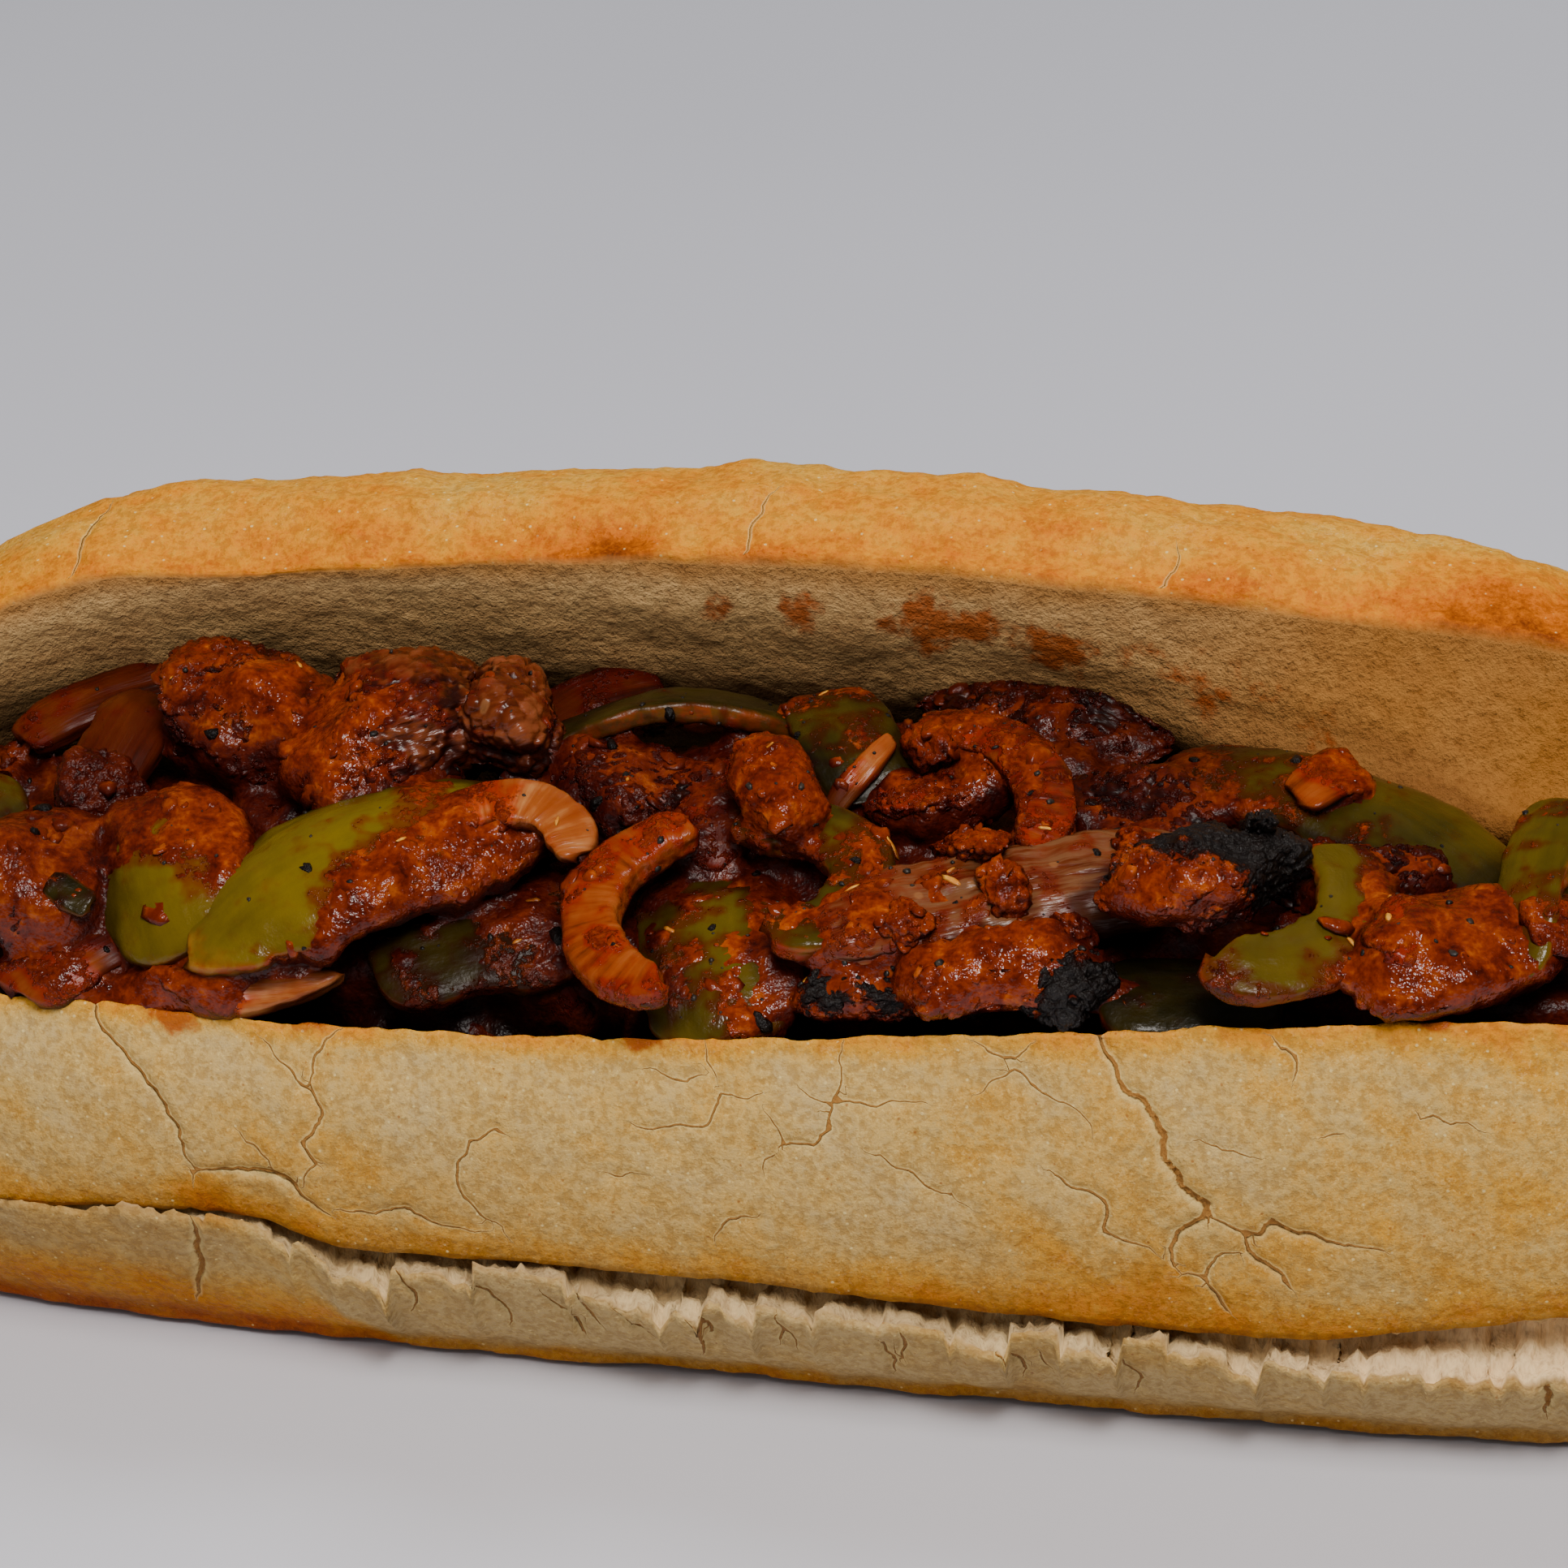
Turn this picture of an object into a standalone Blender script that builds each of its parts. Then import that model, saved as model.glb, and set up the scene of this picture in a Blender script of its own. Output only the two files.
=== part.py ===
"""A hot roast beef sub: a split crusty roll heaped with beef, green pepper and onion in tomato sauce.

The roll lies along X on its flat underside, with the open side towards -Y. The origin is on the
surface that it stands on, under the middle of its length. Sizes are in millimetres and become
metres when a mesh is finished.
"""

import math
from dataclasses import dataclass

import bmesh
import bpy
from mathutils import Matrix, Vector, noise

MM = 0.001
MERGE = 1e-4  # points closer than this are one
OBJECT_NAME = "roast_beef_sub"

# The roll.
ROLL_LENGTH = 240.0
HALF_LENGTH = ROLL_LENGTH / 2
TIP_HEIGHT = 18.0  # height of the two pointed ends above the table
WIDTH_TAPER, TOP_TAPER, BOTTOM_TAPER = 4.0, 5.0, 14.0  # how far the roll keeps each size
END_ROUNDNESS = 2.2  # and how roundly it then closes
STATIONS = 31  # cross-sections along the roll
END_MARGIN = 0.9  # the last cross-section stops this short of the tip
OUTER_POINTS, INNER_POINTS = 28, 13  # points round the crust and round the trough

# One cross-section as (y, z), from the front cut edge down, under the roll and up to the lid's cut edge.
LIP_FIRST, LIP_LAST = 3, 6  # the torn line low on the front wall lies between these points
OUTER_OPEN = (
    (-35.5, 38.5), (-38.0, 31.0), (-38.5, 23.0), (-37.8, 15.0), (-35.0, 14.0), (-35.0, 12.4),
    (-37.3, 11.2), (-32.4, 2.9), (-24.6, 0.0), (25.0, 0.0), (32.4, 2.9), (37.0, 13.0),
    (38.5, 30.0), (37.0, 47.0), (31.0, 61.0), (21.5, 69.5), (12.0, 71.5), (4.0, 68.0),
)
OUTER_CLOSED = (
    (-33.0, 36.0), (-37.0, 29.0), (-38.5, 22.0), (-37.6, 14.0), (-36.6, 13.4), (-36.6, 12.2),
    (-37.0, 10.5), (-32.4, 2.9), (-24.6, 0.0), (25.0, 0.0), (32.4, 2.9), (37.0, 12.0),
    (38.5, 24.0), (35.0, 36.0), (24.0, 45.5), (4.0, 50.0), (-17.0, 47.0), (-33.0, 36.0),
)
# The crumb of the trough, from under the lid's cut edge down and back up to the front cut edge.
INNER_MIDDLE = (
    (5.0, 62.5), (7.5, 56.5), (10.0, 51.5), (16.0, 44.0), (22.0, 35.0), (20.0, 24.0),
    (10.0, 15.5), (-6.0, 13.0), (-20.0, 17.0), (-30.0, 27.0), (-34.0, 35.5),
)
INNER_RIGHT = (
    (3.0, 61.0), (0.5, 54.0), (-2.5, 48.5), (4.0, 43.0), (16.0, 35.0), (17.0, 24.0),
    (8.0, 15.5), (-6.0, 13.0), (-20.0, 17.0), (-30.0, 27.0), (-34.0, 35.5),
)
RIGHT_FROM, RIGHT_FULL = 15.0, 65.0  # x where the crumb under the lid turns steeper
WALL_RIM_DROP = 3.0  # the trough reaches its rim this far under the front cut edge

# Heights and openings along the roll, as (x, value).
MOUTH = (
    (-108, 0.0), (-100, 0.40), (-88, 0.74), (-73, 0.90), (-58, 0.95), (-40, 0.98), (-10, 1.0),
    (40, 1.0), (68, 0.97), (82, 0.85), (96, 0.52), (104, 0.20), (108, 0.0),
)
WALL = (
    (-120, 30.0), (-106, 33.5), (-73, 36.3), (-40, 36.4), (-10, 37.9), (20, 41.2), (45, 44.3),
    (70, 46.8), (90, 45.0), (107, 38.0), (120, 34.0),
)
LID = (
    (-120, 54.0), (-83, 67.5), (-53, 68.2), (-17, 70.8), (5, 71.5), (40, 69.8), (66, 68.2),
    (90, 62.5), (120, 50.0),
)
LID_EDGE = (
    (-120, 0.0), (-85, 3.2), (-72, 2.2), (-58, 0.3), (30, 0.6), (52, 0.8), (64, 2.2), (75, 4.2),
    (90, 4.0), (120, 0.0),
)
LIP = (
    (-120, 15.0), (-72, 15.5), (-56, 17.2), (-46, 17.4), (-39, 15.4), (0, 15.6), (48, 14.8),
    (62, 17.0), (73, 18.6), (90, 17.0), (120, 15.0),
)
LEAST_MOUTH = 0.12  # a slit narrower than this is closed
WALL_HEIGHT, LIP_HEIGHT, LID_HEIGHT = 38.5, 15.0, 71.5  # the heights that OUTER_OPEN gives them
WALL_FOLLOWS = (1.0, 0.7, 0.3)  # how far the wall's top points take up its changes of height
TROUGH_FOLLOWS = 0.8
LID_FROM, LID_FULL = 25.0, 65.0  # z from which the back takes up the lid's changes of height
BACK_FIRST = 11  # the first of OUTER_OPEN's points on the back

# The filling.
GAP = 0.3  # clearance between touching pieces
CORE_INSET = 0.45  # the sauce mass keeps this clear of the crumb
CORE_LEAST_MOUTH = 0.38
CORE_TOP_POINTS = 6
CORE_DROP = 1.5  # the sauce mass lies this far under the heap's mean surface
CORE_CENTRE = Vector((0, 0, 4))  # its section draws in towards a point this far over its bed
CORE_EDGE = 1.6  # how soon its top rises from the rims
CORE_REACH, LENGTH_SHARE = 0.62, 0.6  # how far a piece lifts the mass beneath it, by its size
HEAP_BULGE = 3.0
HEAP_FRONT, HEAP_BACK = 11, 3  # points of the trough's section that the heap spans
SLAB_CUTS_LONG, SLAB_CUTS_WIDE = 5, 2
SLAB_EDGE, SLAB_TIP = 0.75, 0.55  # how much a slab thins at its sides, and how thick its tips stay
SLAB_CLOSE = 1.02  # just over 1, so that its ends keep some width
LUMP_ROUGHNESS, LUMP_GRAIN = 0.16, 3.0  # depth and fineness of a lump's bumps
FLAT_WITHIN = 3.0  # degrees between faces that become one after a cut
SEED_STEP = 7.3  # spacing of the noise field between one lump and the next

CRUST, SAUCE = "crust", "sauce"
PEPPER, ONION, BEEF, CHAR = "pepper", "onion", "beef", "char"
FINISHES = {
    CRUST: ((0.56, 0.33, 0.13), 0.62),
    SAUCE: ((0.22, 0.03, 0.01), 0.32),
    PEPPER: ((0.16, 0.20, 0.02), 0.28),
    ONION: ((0.55, 0.25, 0.11), 0.25),
    BEEF: ((0.20, 0.045, 0.02), 0.38),
    CHAR: ((0.018, 0.012, 0.010), 0.45),
}


@dataclass(frozen=True)
class Piece:
    """One cut of food in the heap. `x` and `climb` give its place on the heap's slope: climb is 0
    at the front wall and 1 under the lid. `lift` is its height over that slope. Headings run
    from the roll's length, at 0, to straight up the slope, at 90."""

    name: str
    finish: str
    x: float
    climb: float
    lift: float
    length: float
    width: float
    thickness: float
    heading: float = 0.0
    roll: float = 0.0
    pitch: float = 0.0
    bend: float = 0.0  # degrees that the length curves down over its ends
    arc: float = 0.0  # degrees that it curves within its own plane, as a ring does
    cup: float = 0.0  # degrees that the width curves
    twist: float = 0.0
    blunt: float = 4.0  # how square the ends are
    lump: bool = False


PIECES = (
    Piece("onion_curl", ONION, -24, 0.40, 8.4, 16, 8.2, 2.4, heading=25, bend=125, twist=20),
    Piece("onion_over_pepper", ONION, 1, 0.50, 8.4, 17, 5.0, 2.8, heading=-36, bend=30),
    Piece("pepper_wedge_big", PEPPER, -38, 0.32, 6.6, 36, 13.5, 3.8, heading=29, bend=50, cup=80, arc=35,
          roll=-14, blunt=2.6),
    Piece("onion_on_pepper", ONION, 47, 0.77, 8.0, 7.5, 4.6, 2.2, heading=50, bend=30),
    Piece("onion_bit_right", ONION, 55, 0.16, 7.6, 8, 5.4, 2.4, heading=75, cup=40),
    Piece("char_crust", CHAR, 37, 0.26, 8.2, 17.5, 9, 7, heading=12, lump=True),
    Piece("pepper_wedge_small", PEPPER, -56.5, 0.27, 5.4, 19, 14.5, 5.0, heading=-62, bend=40, cup=85,
          roll=12, blunt=2.8),
    Piece("beef_front", BEEF, 20.5, 0.10, 5.4, 16, 10, 8.5, heading=6, lump=True),
    Piece("beef_main", BEEF, -40.5, 0.64, 5.4, 22, 17, 12, heading=32, lump=True),
    Piece("pepper_fold", PEPPER, 46.5, 0.22, 5.6, 22, 8.0, 2.4, heading=30, bend=60, arc=55, twist=-25),
    Piece("onion_arc", ONION, 20, 0.60, 5.6, 22, 5.0, 2.8, heading=-52, arc=115, bend=25),
    Piece("pepper_slab_back", PEPPER, 2.5, 0.71, 5.2, 17, 9.0, 2.6, heading=-62, bend=45),
    Piece("pepper_curl", PEPPER, 6.5, 0.34, 5.0, 27, 5.4, 2.6, heading=-70, arc=235),
    Piece("beef_lobe", BEEF, -30, 0.70, 5.2, 12, 12, 10, heading=80, lump=True),
    Piece("beef_strip", BEEF, 22, 0.30, 3.6, 41, 11, 5.2, heading=20, bend=20, blunt=3.0),
    Piece("beef_left", BEEF, -72, 0.27, 4.0, 16, 15, 9.5, heading=20, lump=True),
    Piece("char_knob", CHAR, 25.5, 0.08, 3.6, 9, 7.0, 6.0, heading=20, lump=True),
    Piece("pepper_arch", PEPPER, -12.5, 0.78, 4.6, 38, 8.0, 2.4, heading=12, bend=75, roll=-25, blunt=3),
    Piece("beef_dark", BEEF, -55, 0.75, 3.8, 17, 14, 10, heading=-30, lump=True),
    Piece("beef_right", BEEF, 62, 0.20, 3.8, 26, 13, 9.5, heading=33, lump=True),
    Piece("pepper_slope_back", PEPPER, 48, 0.78, 3.6, 34, 13, 3.0, heading=-26, bend=38, cup=60, roll=-8),
    Piece("onion_ring_front", ONION, -16.5, 0.20, 3.6, 30, 5.2, 3.0, heading=92, arc=225, roll=-38),
    Piece("onion_tip", ONION, -48, 0.07, 3.2, 17, 6.4, 3.2, heading=8, bend=-25, cup=50, blunt=1.6),
    Piece("onion_mid", ONION, -8.5, 0.53, 3.4, 13, 9.0, 2.8, heading=75, bend=45, cup=30),
    Piece("pepper_wide", PEPPER, -5.5, 0.22, 2.8, 21, 15, 2.8, heading=-80, bend=55, cup=45),
    Piece("onion_clear", ONION, -64.5, 0.14, 3.0, 15, 10, 2.8, heading=48, bend=45, cup=30),
    Piece("onion_chopped", ONION, 11.5, 0.57, 2.6, 13, 8.0, 6.5, heading=25, lump=True),
    Piece("beef_mid", BEEF, -16, 0.58, 2.0, 17, 13, 8.5, heading=-15, lump=True),
    Piece("pepper_dark", PEPPER, -27.5, 0.24, 2.0, 21, 13, 2.8, heading=22, bend=20, cup=45),
    Piece("onion_stood", ONION, -67, 0.68, 2.4, 16, 7.5, 2.8, heading=-100, bend=45, cup=25),
    Piece("char_oval", CHAR, 11.5, 0.09, 1.6, 16, 5.6, 5.2, heading=4, lump=True),
    Piece("pepper_shade", PEPPER, 37, 0.11, 1.0, 16, 10, 2.6, heading=2, cup=40),
    Piece("onion_under_lid", ONION, -71, 0.90, 1.2, 17, 5.6, 2.6, heading=36, bend=35),
    Piece("tomato_front", BEEF, -57, 0.05, 1.0, 13, 5.5, 5.0, heading=5, lump=True),
    Piece("beef_gap", BEEF, 51, 0.46, 1.0, 16, 12, 8, heading=40, lump=True),
    Piece("beef_behind", BEEF, 31, 0.62, 1.0, 18, 12, 8, heading=-15, lump=True),
    Piece("beef_back", BEEF, 20, 0.90, 0.4, 26, 10, 8, heading=-8, lump=True),
    Piece("onion_back", ONION, -23, 0.94, 0.4, 12, 6.5, 2.6, heading=35, bend=40),
    Piece("pepper_left_end", PEPPER, -86, 0.56, 2.6, 24, 10, 2.8, heading=18, bend=45, cup=50),
    Piece("onion_left_end", ONION, -83, 0.34, 3.2, 20, 5.0, 2.8, heading=20, arc=150),
    Piece("beef_left_end", BEEF, -92, 0.34, 1.0, 14, 10, 8, heading=10, lump=True),
    Piece("pepper_right_end", PEPPER, 77, 0.68, 3.4, 28, 11, 2.8, heading=-16, bend=50, cup=50),
    Piece("beef_right_end", BEEF, 82, 0.32, 2.4, 18, 12, 9, heading=-12, lump=True),
    Piece("onion_right_end", ONION, 91, 0.52, 2.2, 18, 5.0, 2.8, heading=-30, arc=130),
)


def along(stations, x):
    """The value at x of a smooth curve through (x, value) stations."""
    xs = [station[0] for station in stations]
    values = [station[1] for station in stations]
    x = min(max(x, xs[0]), xs[-1])
    last = len(xs) - 1
    slopes = []
    for i in range(last + 1):
        low, high = max(i - 1, 0), min(i + 1, last)
        slopes.append((values[high] - values[low]) / (xs[high] - xs[low]))
    i = max(k for k in range(last) if xs[k] <= x)
    span = xs[i + 1] - xs[i]
    s = (x - xs[i]) / span
    return (
        (2 * s**3 - 3 * s**2 + 1) * values[i]
        + (s**3 - 2 * s**2 + s) * span * slopes[i]
        + (3 * s**2 - 2 * s**3) * values[i + 1]
        + (s**3 - s**2) * span * slopes[i + 1]
    )


def eased(low, high, value):
    """0 below low, 1 above high and smooth between."""
    s = min(max((value - low) / (high - low), 0.0), 1.0)
    return s * s * (3 - 2 * s)


def curve_through(points, count):
    """`count` points evenly spread along a Catmull-Rom curve through the given ones."""
    first = 2 * points[0] - points[1]
    last = 2 * points[-1] - points[-2]
    path = [first, *points, last]
    curve = []
    for k in range(count):
        t = k * (len(points) - 1) / (count - 1)
        i = min(int(t), len(points) - 2)
        s = t - i
        a, b, c, d = path[i : i + 4]
        curve.append(
            0.5 * (2 * b + (c - a) * s + (2 * a - 5 * b + 4 * c - d) * s * s + (3 * b - a - 3 * c + d) * s**3)
        )
    return curve


def mouth(x):
    """How open the roll is at x, from 0 for shut to 1."""
    opening = along(MOUTH, x)
    return min(opening, 1.0) if opening > LEAST_MOUTH else 0.0


def tapered(y, z, x):
    """A point of the full cross-section, drawn in towards the roll's end."""
    reach = abs(x / HALF_LENGTH)
    narrow = (1 - reach**WIDTH_TAPER) ** (1 / END_ROUNDNESS)
    low = (1 - reach ** (TOP_TAPER if z > TIP_HEIGHT else BOTTOM_TAPER)) ** (1 / END_ROUNDNESS)
    return Vector((x, y * narrow, TIP_HEIGHT + (z - TIP_HEIGHT) * low))


def lid_height(x, z):
    """The height of a point of the open section's back and lid, which rises and falls along the roll."""
    share = eased(LID_FROM, LID_FULL, z)
    return z * (1 + (along(LID, x) / LID_HEIGHT - 1) * share)


def crust_points(x):
    """The cross-section's outer control points at x."""
    opening = mouth(x)
    wall = along(WALL, x) / WALL_HEIGHT
    points = []
    for i, ((y_shut, z_shut), (y_open, z_open)) in enumerate(zip(OUTER_CLOSED, OUTER_OPEN)):
        if i < LIP_FIRST:
            z_shut, z_open = (z * (1 + (wall - 1) * WALL_FOLLOWS[i]) for z in (z_shut, z_open))
        elif i <= LIP_LAST:
            rise = along(LIP, x) - LIP_HEIGHT
            z_shut, z_open = z_shut + rise, z_open + rise
        elif i >= BACK_FIRST:
            z_open = lid_height(x, z_open)
        points.append(tapered(y_shut + (y_open - y_shut) * opening, z_shut + (z_open - z_shut) * opening, x))
    if opening == 0:
        points[-1] = points[0].copy()
    else:
        y_open, z_open = OUTER_OPEN[-1]
        z_open = lid_height(x, z_open) + along(LID_EDGE, x)
        y_shut, z_shut = OUTER_CLOSED[0]
        z_shut *= wall
        points[-1] = tapered(
            y_shut + (y_open - y_shut) * opening, z_shut + (z_open - z_shut) * opening, x
        )
    return points


def trough_points(x):
    """The trough's control points at x, from the lid's cut edge to the front cut edge."""
    opening = mouth(x)
    crust = crust_points(x)
    rim, lid_edge = crust[0], crust[-1]
    turn = eased(RIGHT_FROM, RIGHT_FULL, x)
    wall = along(WALL, x) / WALL_HEIGHT
    points = []
    for (y_middle, z_middle), (y_right, z_right) in zip(INNER_MIDDLE, INNER_RIGHT):
        point = tapered(y_middle + (y_right - y_middle) * turn, z_middle + (z_right - z_middle) * turn, x)
        points.append(point)
    points[-1].z = rim.z - WALL_RIM_DROP
    points[-2].z *= 1 + (wall - 1) * TROUGH_FOLLOWS
    points = [rim + (point - rim) * opening for point in points]
    return [lid_edge, *points, rim]


def stations():
    """The x of each cross-section, closer together towards the ends."""
    reach = HALF_LENGTH - END_MARGIN
    turn = math.pi / (STATIONS - 1)
    return [reach * math.sin(k * turn - math.pi / 2) for k in range(STATIONS)]


def bridge_rings(mesh, rings):
    """Faces between successive closed rings of vertices."""
    for ring, following in zip(rings, rings[1:]):
        for i in range(len(ring)):
            j = (i + 1) % len(ring)
            mesh.faces.new((ring[i], ring[j], following[j], following[i]))


def cleaned(mesh):
    """Merges vertices that meet, drops what collapses and turns every face outwards."""
    bmesh.ops.remove_doubles(mesh, verts=mesh.verts, dist=MERGE)
    bmesh.ops.dissolve_degenerate(mesh, edges=mesh.edges, dist=MERGE)
    bmesh.ops.triangulate(mesh, faces=mesh.faces)
    bmesh.ops.recalc_face_normals(mesh, faces=mesh.faces)
    return mesh


def roll_mesh():
    """The whole roll as one loft: a C-shaped section where it is split, and a full one at its ends."""
    mesh = bmesh.new()
    rings = []
    for x in stations():
        outline = curve_through(crust_points(x), OUTER_POINTS)
        base = tapered(0, 0, x).z
        for point in outline:
            point.z = max(point.z, base)  # pressed flat where it stands
        if mouth(x):
            outline += curve_through(trough_points(x), INNER_POINTS)[1:-1]
        else:
            outline += [outline[0].copy() for _ in range(INNER_POINTS - 2)]
        rings.append([mesh.verts.new(point) for point in outline])
    bridge_rings(mesh, rings)
    for ring, side in ((rings[0], -1), (rings[-1], 1)):
        tip = mesh.verts.new((side * HALF_LENGTH, 0, TIP_HEIGHT))
        for i in range(OUTER_POINTS - 1):
            mesh.faces.new((ring[i], ring[i + 1], tip))
    return cleaned(mesh)


def heap_frame(x, climb, lift):
    """A place on the heap's slope as a matrix: X along the roll, Y up the slope and Z out of it."""
    trough = trough_points(x)
    front, back = trough[HEAP_FRONT], trough[HEAP_BACK]
    slope = back - front
    up = slope.normalized()
    outward = Vector((1, 0, 0)).cross(up)
    crown = HEAP_BULGE * mouth(x) * math.sin(math.pi * min(max(climb, 0.0), 1.0))
    place = front + slope * climb + outward * (crown + lift)
    return Matrix((
        (1, up.x, outward.x, place.x),
        (0, up.y, outward.y, place.y),
        (0, up.z, outward.z, place.z),
        (0, 0, 0, 1),
    ))


def curled(along_axis, across, angle, span):
    """Bends the pair (along_axis, across) round an arc of `angle` degrees over `span`."""
    if not angle:
        return along_axis, across
    radius = span / math.radians(angle)
    turn = along_axis / radius
    return (radius + across) * math.sin(turn), (radius + across) * math.cos(turn) - radius


def shaped(piece, point):
    """Curls a point of the flat piece as the piece's own bends ask."""
    u, v, w = point
    v, w = curled(v, w, piece.cup, piece.width)
    turn = math.radians(piece.twist) * u / piece.length
    v, w = v * math.cos(turn) - w * math.sin(turn), v * math.sin(turn) + w * math.cos(turn)
    u, v = curled(u, v, piece.arc, piece.length)
    u, w = curled(u, w, piece.bend, piece.length)
    return Vector((u, v, w))


def slab(piece, mesh):
    """A flat cut of vegetable or meat: rounded in outline, thinner at its edges."""
    bmesh.ops.create_cube(mesh, size=1.0)
    for axis, cuts in ((0, SLAB_CUTS_LONG), (1, SLAB_CUTS_WIDE)):
        edges = [e for e in mesh.edges if abs((e.verts[1].co - e.verts[0].co)[axis]) > 0.9]
        bmesh.ops.subdivide_edges(mesh, edges=edges, cuts=cuts, use_grid_fill=True)
    for vert in mesh.verts:
        u, v, w = vert.co
        narrow = (SLAB_CLOSE - abs(2 * u) ** piece.blunt) ** (1 / piece.blunt)
        edge = math.sqrt(1 - SLAB_EDGE * (2 * v) ** 2) * (SLAB_TIP + (1 - SLAB_TIP) * narrow)
        vert.co = Vector((u * piece.length, v * piece.width * narrow, w * piece.thickness * edge))


def lump(piece, mesh, seed):
    """An uneven rounded chunk."""
    bmesh.ops.create_icosphere(mesh, subdivisions=2, radius=0.5)
    for vert in mesh.verts:
        field = vert.co * LUMP_GRAIN + Vector((seed * SEED_STEP, 0, 0))
        swell = 1 + LUMP_ROUGHNESS * noise.noise(field)
        vert.co = Vector((
            vert.co.x * swell * piece.length,
            vert.co.y * swell * piece.width,
            vert.co.z * swell * piece.thickness,
        ))


def piece_mesh(piece, seed, swell=0.0):
    """One piece in its place on the heap, grown by `swell` all round when it is to cut its neighbours."""
    mesh = bmesh.new()
    if piece.lump:
        lump(piece, mesh, seed)
    else:
        slab(piece, mesh)
    turns = (
        heap_frame(piece.x, piece.climb, piece.lift)
        @ Matrix.Rotation(math.radians(piece.heading), 4, "Z")
        @ Matrix.Rotation(math.radians(piece.pitch), 4, "Y")
        @ Matrix.Rotation(math.radians(piece.roll), 4, "X")
    )
    for vert in mesh.verts:
        vert.co = turns @ shaped(piece, vert.co)
    cleaned(mesh)
    return grown(mesh, swell)


def grown(mesh, swell):
    """Moves every vertex out along its normal."""
    mesh.normal_update()
    for vert, normal in [(vert, vert.normal.copy()) for vert in mesh.verts]:
        vert.co += normal * swell
    return mesh


def piece_rise(x, climb, width):
    """How far the sauce mass stands over its mean slope to carry the pieces above it."""
    rise = 0.0
    for piece in PIECES:
        reach = CORE_REACH * max(piece.width, LENGTH_SHARE * piece.length)
        away = math.hypot(x - piece.x, (climb - piece.climb) * width) / reach
        rise = max(rise, (piece.lift - 0.5 * piece.thickness) * math.exp(-away * away))
    return rise


def core_mesh():
    """The sauce and small bits that fill the trough under the pieces."""
    mesh = bmesh.new()
    rings = []
    for x in stations():
        if mouth(x) < CORE_LEAST_MOUTH:
            continue
        trough = curve_through(trough_points(x), INNER_POINTS)
        per_point = (INNER_POINTS - 1) / (len(trough_points(x)) - 1)
        bed = trough[round(HEAP_BACK * per_point) + 1 : round(HEAP_FRONT * per_point)]
        centre = sum(bed, Vector()) / len(bed) + CORE_CENTRE
        outline = [point + (centre - point).normalized() * CORE_INSET for point in bed]
        slope = (bed[0] - bed[-1]).length
        for k in range(CORE_TOP_POINTS):
            climb = (k + 1) / (CORE_TOP_POINTS + 1)
            edge = min(1.0, CORE_EDGE * math.sin(math.pi * climb))
            lift = (piece_rise(x, climb, slope) - CORE_DROP) * edge
            outline.append(heap_frame(x, climb, lift).translation)
        rings.append([mesh.verts.new(point) for point in outline])
    bridge_rings(mesh, rings)
    mesh.faces.new(rings[0])
    mesh.faces.new(rings[-1])
    return cleaned(mesh)


def material_for(finish):
    """The Principled material of a finish, made once."""
    if finish in bpy.data.materials:
        return bpy.data.materials[finish]
    colour, roughness = FINISHES[finish]
    material = bpy.data.materials.new(finish)
    material.use_nodes = True
    shader = material.node_tree.nodes["Principled BSDF"]
    shader.inputs["Base Color"].default_value = (*colour, 1.0)
    shader.inputs["Roughness"].default_value = roughness
    shader.inputs["Metallic"].default_value = 0.0
    return material


def finished_object(name, mesh, finish, collection):
    """Turns a bmesh in millimetres into an object in metres."""
    bmesh.ops.scale(mesh, vec=(MM, MM, MM), verts=mesh.verts)
    data = bpy.data.meshes.new(name)
    mesh.to_mesh(data)
    mesh.free()
    data.shade_smooth()
    obj = bpy.data.objects.new(name, data)
    obj.data.materials.append(material_for(finish))
    collection.objects.link(obj)
    return obj


def cutter_object(name, mesh, collection):
    """A helper that only cuts others."""
    obj = finished_object(name, mesh, SAUCE, collection)
    obj.hide_render = True
    obj.display_type = "WIRE"
    return obj


def boxes_meet(first, second):
    """Whether two objects' bounding boxes overlap."""
    for axis in range(3):
        low_a, high_a = (f(corner[axis] for corner in first.bound_box) for f in (min, max))
        low_b, high_b = (f(corner[axis] for corner in second.bound_box) for f in (min, max))
        if high_a < low_b or high_b < low_a:
            return False
    return True


def islands(mesh):
    """The connected groups of faces of a bmesh."""
    left = set(mesh.faces)
    while left:
        group, edge = set(), {left.pop()}
        while edge:
            face = edge.pop()
            group.add(face)
            for link in face.edges:
                edge |= {other for other in link.link_faces if other in left}
            left -= edge
        yield group


def cut_by(obj, cutters):
    """Takes the cutters out of an object and keeps the largest piece that is left."""
    near = [cutter for cutter in cutters if boxes_meet(obj, cutter)]
    if not near:
        return
    for cutter in near:
        modifier = obj.modifiers.new(f"clear_{cutter.name}", "BOOLEAN")
        modifier.operation = "DIFFERENCE"
        modifier.solver = "EXACT"
        modifier.object = cutter
    bpy.context.view_layer.update()
    graph = bpy.context.evaluated_depsgraph_get()
    cut = bpy.data.meshes.new_from_object(obj.evaluated_get(graph))
    obj.modifiers.clear()
    mesh = bmesh.new()
    mesh.from_mesh(cut)
    groups = sorted(islands(mesh), key=lambda group: sum(face.calc_area() for face in group))
    bmesh.ops.delete(mesh, geom=[face for group in groups[:-1] for face in group], context="FACES")
    bmesh.ops.dissolve_limit(
        mesh, angle_limit=math.radians(FLAT_WITHIN), verts=mesh.verts, edges=mesh.edges
    )
    bmesh.ops.triangulate(mesh, faces=mesh.faces)
    mesh.to_mesh(obj.data)
    mesh.free()
    bpy.data.meshes.remove(cut)
    obj.data.shade_smooth()


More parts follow.
